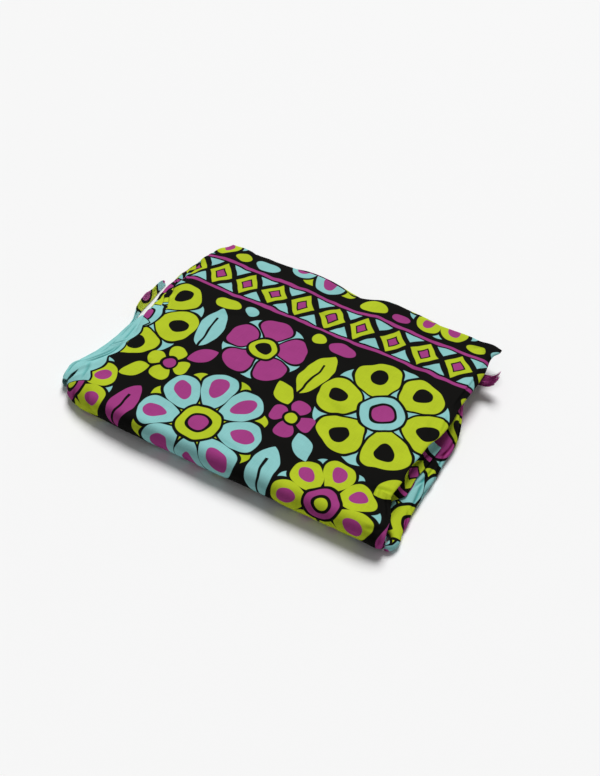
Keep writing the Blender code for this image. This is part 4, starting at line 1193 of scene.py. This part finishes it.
def build_hidden_plies():
    """Folded edges of the plies inside the stack, one above the other."""
    fine = spline(PLY_OUTLINE + PLY_OUTLINE[:1], steps=8)
    arc = arc_lengths(fine[:, :2])
    at = np.linspace(0.0, arc[-1], PLY_POINTS + 1)[:-1]
    x, y, draw_in = read_curve(fine, arc, at).T
    ring = np.column_stack([x, y])
    ahead = np.roll(ring, -1, axis=0) - np.roll(ring, 1, axis=0)
    inward = np.column_stack([ahead[:, 1], -ahead[:, 0]])
    inward /= np.linalg.norm(inward, axis=1)[:, None]
    if np.mean(np.sum(inward * (ring.mean(axis=0) - ring), axis=1)) < 0.0:
        inward = -inward
    room = top_height(x, y) - PLY_COVER - WALL - PLY_GAP
    half = room / PLIES / 2.0 * PLY_FULLNESS
    patches = []
    for ply in range(PLIES):
        share = (ply + 0.5) / PLIES
        waver = sum(height * np.sin(at / length + phase * ply) for height, length, phase in PLY_WAVES)
        waver += PLY_STAGGER * math.sin(PLY_STAGGER_PHASE * ply)
        inset = draw_in * (1.0 - share) + PLY_INSET + waver
        level = WALL + PLY_GAP + room * share
        shift_u, shift_v = np.array(PLY_SHIFT) * ply
        u = np.append(at, at[-1] + PLY_CLOSING) + shift_u
        lines = []
        for distance, side in PLY_EDGE + PLY_EDGE[:1]:
            line = np.column_stack([ring + inward * (inset + distance)[:, None], level + half * side])
            v = np.full(len(u), -side * distance / 2.0 + shift_v)
            lines.append((np.vstack([line, line[:1]]), np.column_stack([u, v])))
        patches.append(patch_of(lines))
    item = cloth_piece("inner_plies", "hidden_layers", patches, offset=PLIES_PLACE)
    item.modifiers.remove(item.modifiers["Cloth"])
    return item


# The tuft of the fringe
TUFT_ROOT = (120.2, 70.5, 13.4)
TUFT_SEED = 7
TUFT_STRANDS = 246
TUFT_STEPS = 14
TUFT_SIDES = 3
TUFT_LENGTH = 22.5
TUFT_HALF = (5.2, 2.9)  # half of its width and of its height at the root
TUFT_SWEEP = 5.0  # back
TUFT_SAG = 2.6
TUFT_BEND = 0.2  # it reaches less far as it bends
TUFT_NARROWING = 0.72
LOCK_PULL = 0.62
SWEEP_POWER = 1.6
CURL_POWER = 3.4
YARN_HALF = 0.3
YARN_TAPER = 0.5
YARN_TWIST = 2.5
YARN_SWAY = 0.25
SWAY_ACROSS = 7.0
SWAY_OVER = 6.0
YARN_LOOSENESS = 0.4
SHORTEST_YARN = 0.9  # share of the longest
# The strands cling together in locks: across and over the tuft, share of its length, lean, rise, curl
TUFT_LOCKS = (
    (-0.95, -0.7, 0.9, 0, -0.4, 2.6),
    (-0.75, 0.1, 0.97, 0.2, -0.2, 3),
    (-0.45, -0.5, 1.02, 0, 0, 3.2),
    (-0.25, 0.5, 0.97, 0.1, 0, 3.4),
    (0, -0.4, 1.04, -0.1, 0, 3.6),
    (0.2, 0.5, 0.84, 0, 0, 4),
    (0.5, -0.4, 0.8, 0, 0, 4),
    (0.6, 0.5, 0.7, 0, 0, 4),
    (0.95, 0.9, 0.96, 0.6, 0.6, 4.6),
)


def build_tuft():
    """A dense lock of fringe that sweeps back, sags and curls up at its tip."""
    random = np.random.default_rng(TUFT_SEED)
    vertices = []
    faces = []
    for strand in range(TUFT_STRANDS):
        lock_across, lock_over, share, lock_lean, lock_rise, curl = TUFT_LOCKS[strand % len(TUFT_LOCKS)]
        across = random.uniform(-1.0, 1.0)
        over = random.uniform(-1.0, 1.0)
        length = TUFT_LENGTH * share * random.uniform(SHORTEST_YARN, 1.0)
        lean = lock_lean + random.normal(0.0, YARN_LOOSENESS)
        rise = lock_rise + random.normal(0.0, YARN_LOOSENESS)
        sway = random.uniform(0.0, 2.0 * math.pi)
        first = len(vertices)
        for step in range(TUFT_STEPS + 1):
            t = step / TUFT_STEPS
            reach = t * length / TUFT_LENGTH
            apart = 1.0 - TUFT_NARROWING * reach
            together = LOCK_PULL * reach
            centre = np.array(TUFT_ROOT) + (
                TUFT_LENGTH * (reach - TUFT_BEND * reach ** 3),
                TUFT_HALF[0] * (across * apart + lock_across * together)
                + TUFT_SWEEP * reach ** SWEEP_POWER + lean * reach ** 2
                + YARN_SWAY * math.sin(SWAY_ACROSS * reach + sway),
                TUFT_HALF[1] * (over * apart + lock_over * together)
                - TUFT_SAG * math.sin(math.pi * reach) + curl * reach ** CURL_POWER
                + rise * reach ** 2 + YARN_SWAY * math.cos(SWAY_OVER * reach + sway),
            )
            half = YARN_HALF * (1.0 - YARN_TAPER * t)
            for side in range(TUFT_SIDES):
                angle = 2.0 * math.pi * side / TUFT_SIDES + YARN_TWIST * t
                vertices.append(centre + np.array([0.0, half * math.cos(angle), half * math.sin(angle)]))
        for step in range(TUFT_STEPS):
            for side in range(TUFT_SIDES):
                low = first + TUFT_SIDES * step + side
                low_next = first + TUFT_SIDES * step + (side + 1) % TUFT_SIDES
                faces.append((low, low_next, low_next + TUFT_SIDES, low + TUFT_SIDES))
        last = first + TUFT_SIDES * TUFT_STEPS
        faces.append(tuple(range(first, first + TUFT_SIDES))[::-1])
        faces.append(tuple(range(last, last + TUFT_SIDES)))
    mesh = bpy.data.meshes.new("fringe_lock")
    mesh.from_pydata((np.array(vertices) * METRES).tolist(), [], faces)
    mesh.materials.append(FRINGE)
    return add_piece("fringe_lock", mesh, "fringe_tuft")


# The camera, the light and the floor
SENSOR = 36.0
FOCAL_LENGTH = 760.0  # in pixels of the picture
PICTURE_HEIGHT = 776.0
CAMERA_PLACE = (0.21286, -0.35279, 0.44724)
CAMERA_TURN = (42.5, 0.0, 30.806)  # in degrees
WORLD_STRENGTH = 0.20
DAYLIGHT_FROM = (-0.29, 0.76, 1.0)
DAYLIGHT_STRENGTH = 3.22
DAYLIGHT_SPREAD = 28.0
FLOOR_REACH = 3.0


def add_camera():
    camera = bpy.data.cameras.new("Camera")
    camera.sensor_width = SENSOR
    camera.lens = FOCAL_LENGTH / PICTURE_HEIGHT * SENSOR
    camera.clip_start = 0.01
    item = add_item("Camera", camera)
    item.location = CAMERA_PLACE
    item.rotation_euler = [math.radians(angle) for angle in CAMERA_TURN]
    bpy.context.scene.camera = item


def add_daylight():
    """Soft light from far off, in the direction of a place seen from the origin."""
    light = bpy.data.lights.new("Daylight", "SUN")
    light.energy = DAYLIGHT_STRENGTH
    light.angle = math.radians(DAYLIGHT_SPREAD)
    item = add_item("Daylight", light)
    x, y, z = DAYLIGHT_FROM
    item.location = DAYLIGHT_FROM
    item.rotation_euler = (math.atan2(math.hypot(x, y), z), 0.0, math.atan2(-y, -x) - math.pi / 2.0)


def add_surroundings():
    bpy.context.scene.view_settings.view_transform = "Standard"
    world = bpy.data.worlds.new("Studio")
    world.use_nodes = True
    background = world.node_tree.nodes["Background"]
    background.inputs["Color"].default_value = (1.0, 1.0, 1.0, 1.0)
    background.inputs["Strength"].default_value = WORLD_STRENGTH
    bpy.context.scene.world = world
    mesh = bpy.data.meshes.new("floor")
    corners = ((-1.0, -1.0), (1.0, -1.0), (1.0, 1.0), (-1.0, 1.0))
    mesh.from_pydata([(FLOOR_REACH * x, FLOOR_REACH * y, 0.0) for x, y in corners], [], [(0, 1, 2, 3)])
    mesh.materials.append(new_material("Floor", FLOOR_SURFACE)[0])
    add_item("floor", mesh)


add_camera()
add_daylight()
add_surroundings()
top = build_top()
left = fold_piece("left_fold", LEFT_NOSE, left_fold_section, LEFT_CREASES, LEFT_PLACE, count=214, steps=8)
leaf = fold_piece("loose_leaf", [(row[1], *row) for row in LOOSE_LEAF], loose_leaf_section, LEAF_CREASES,
                  LEAF_PLACE, count=52, steps=3, ripple=0.5)
leaf.data.materials[0] = SINGLE_PLY
leaf.data.materials[1] = SINGLE_PLY
lower = fold_piece("lower_fold", RIGHT_NOSE, lower_fold_section, LOWER_CREASES, LOWER_PLACE,
                   count=190, steps=6)
side = fold_piece("side_fold", SIDE_FOLD_LINE, side_fold_section, SIDE_CREASES, SIDE_PLACE,
                  count=54, steps=4, flip=False)
second = build_second_ply()
under = build_under()
plies = build_hidden_plies()
tuft = build_tuft()
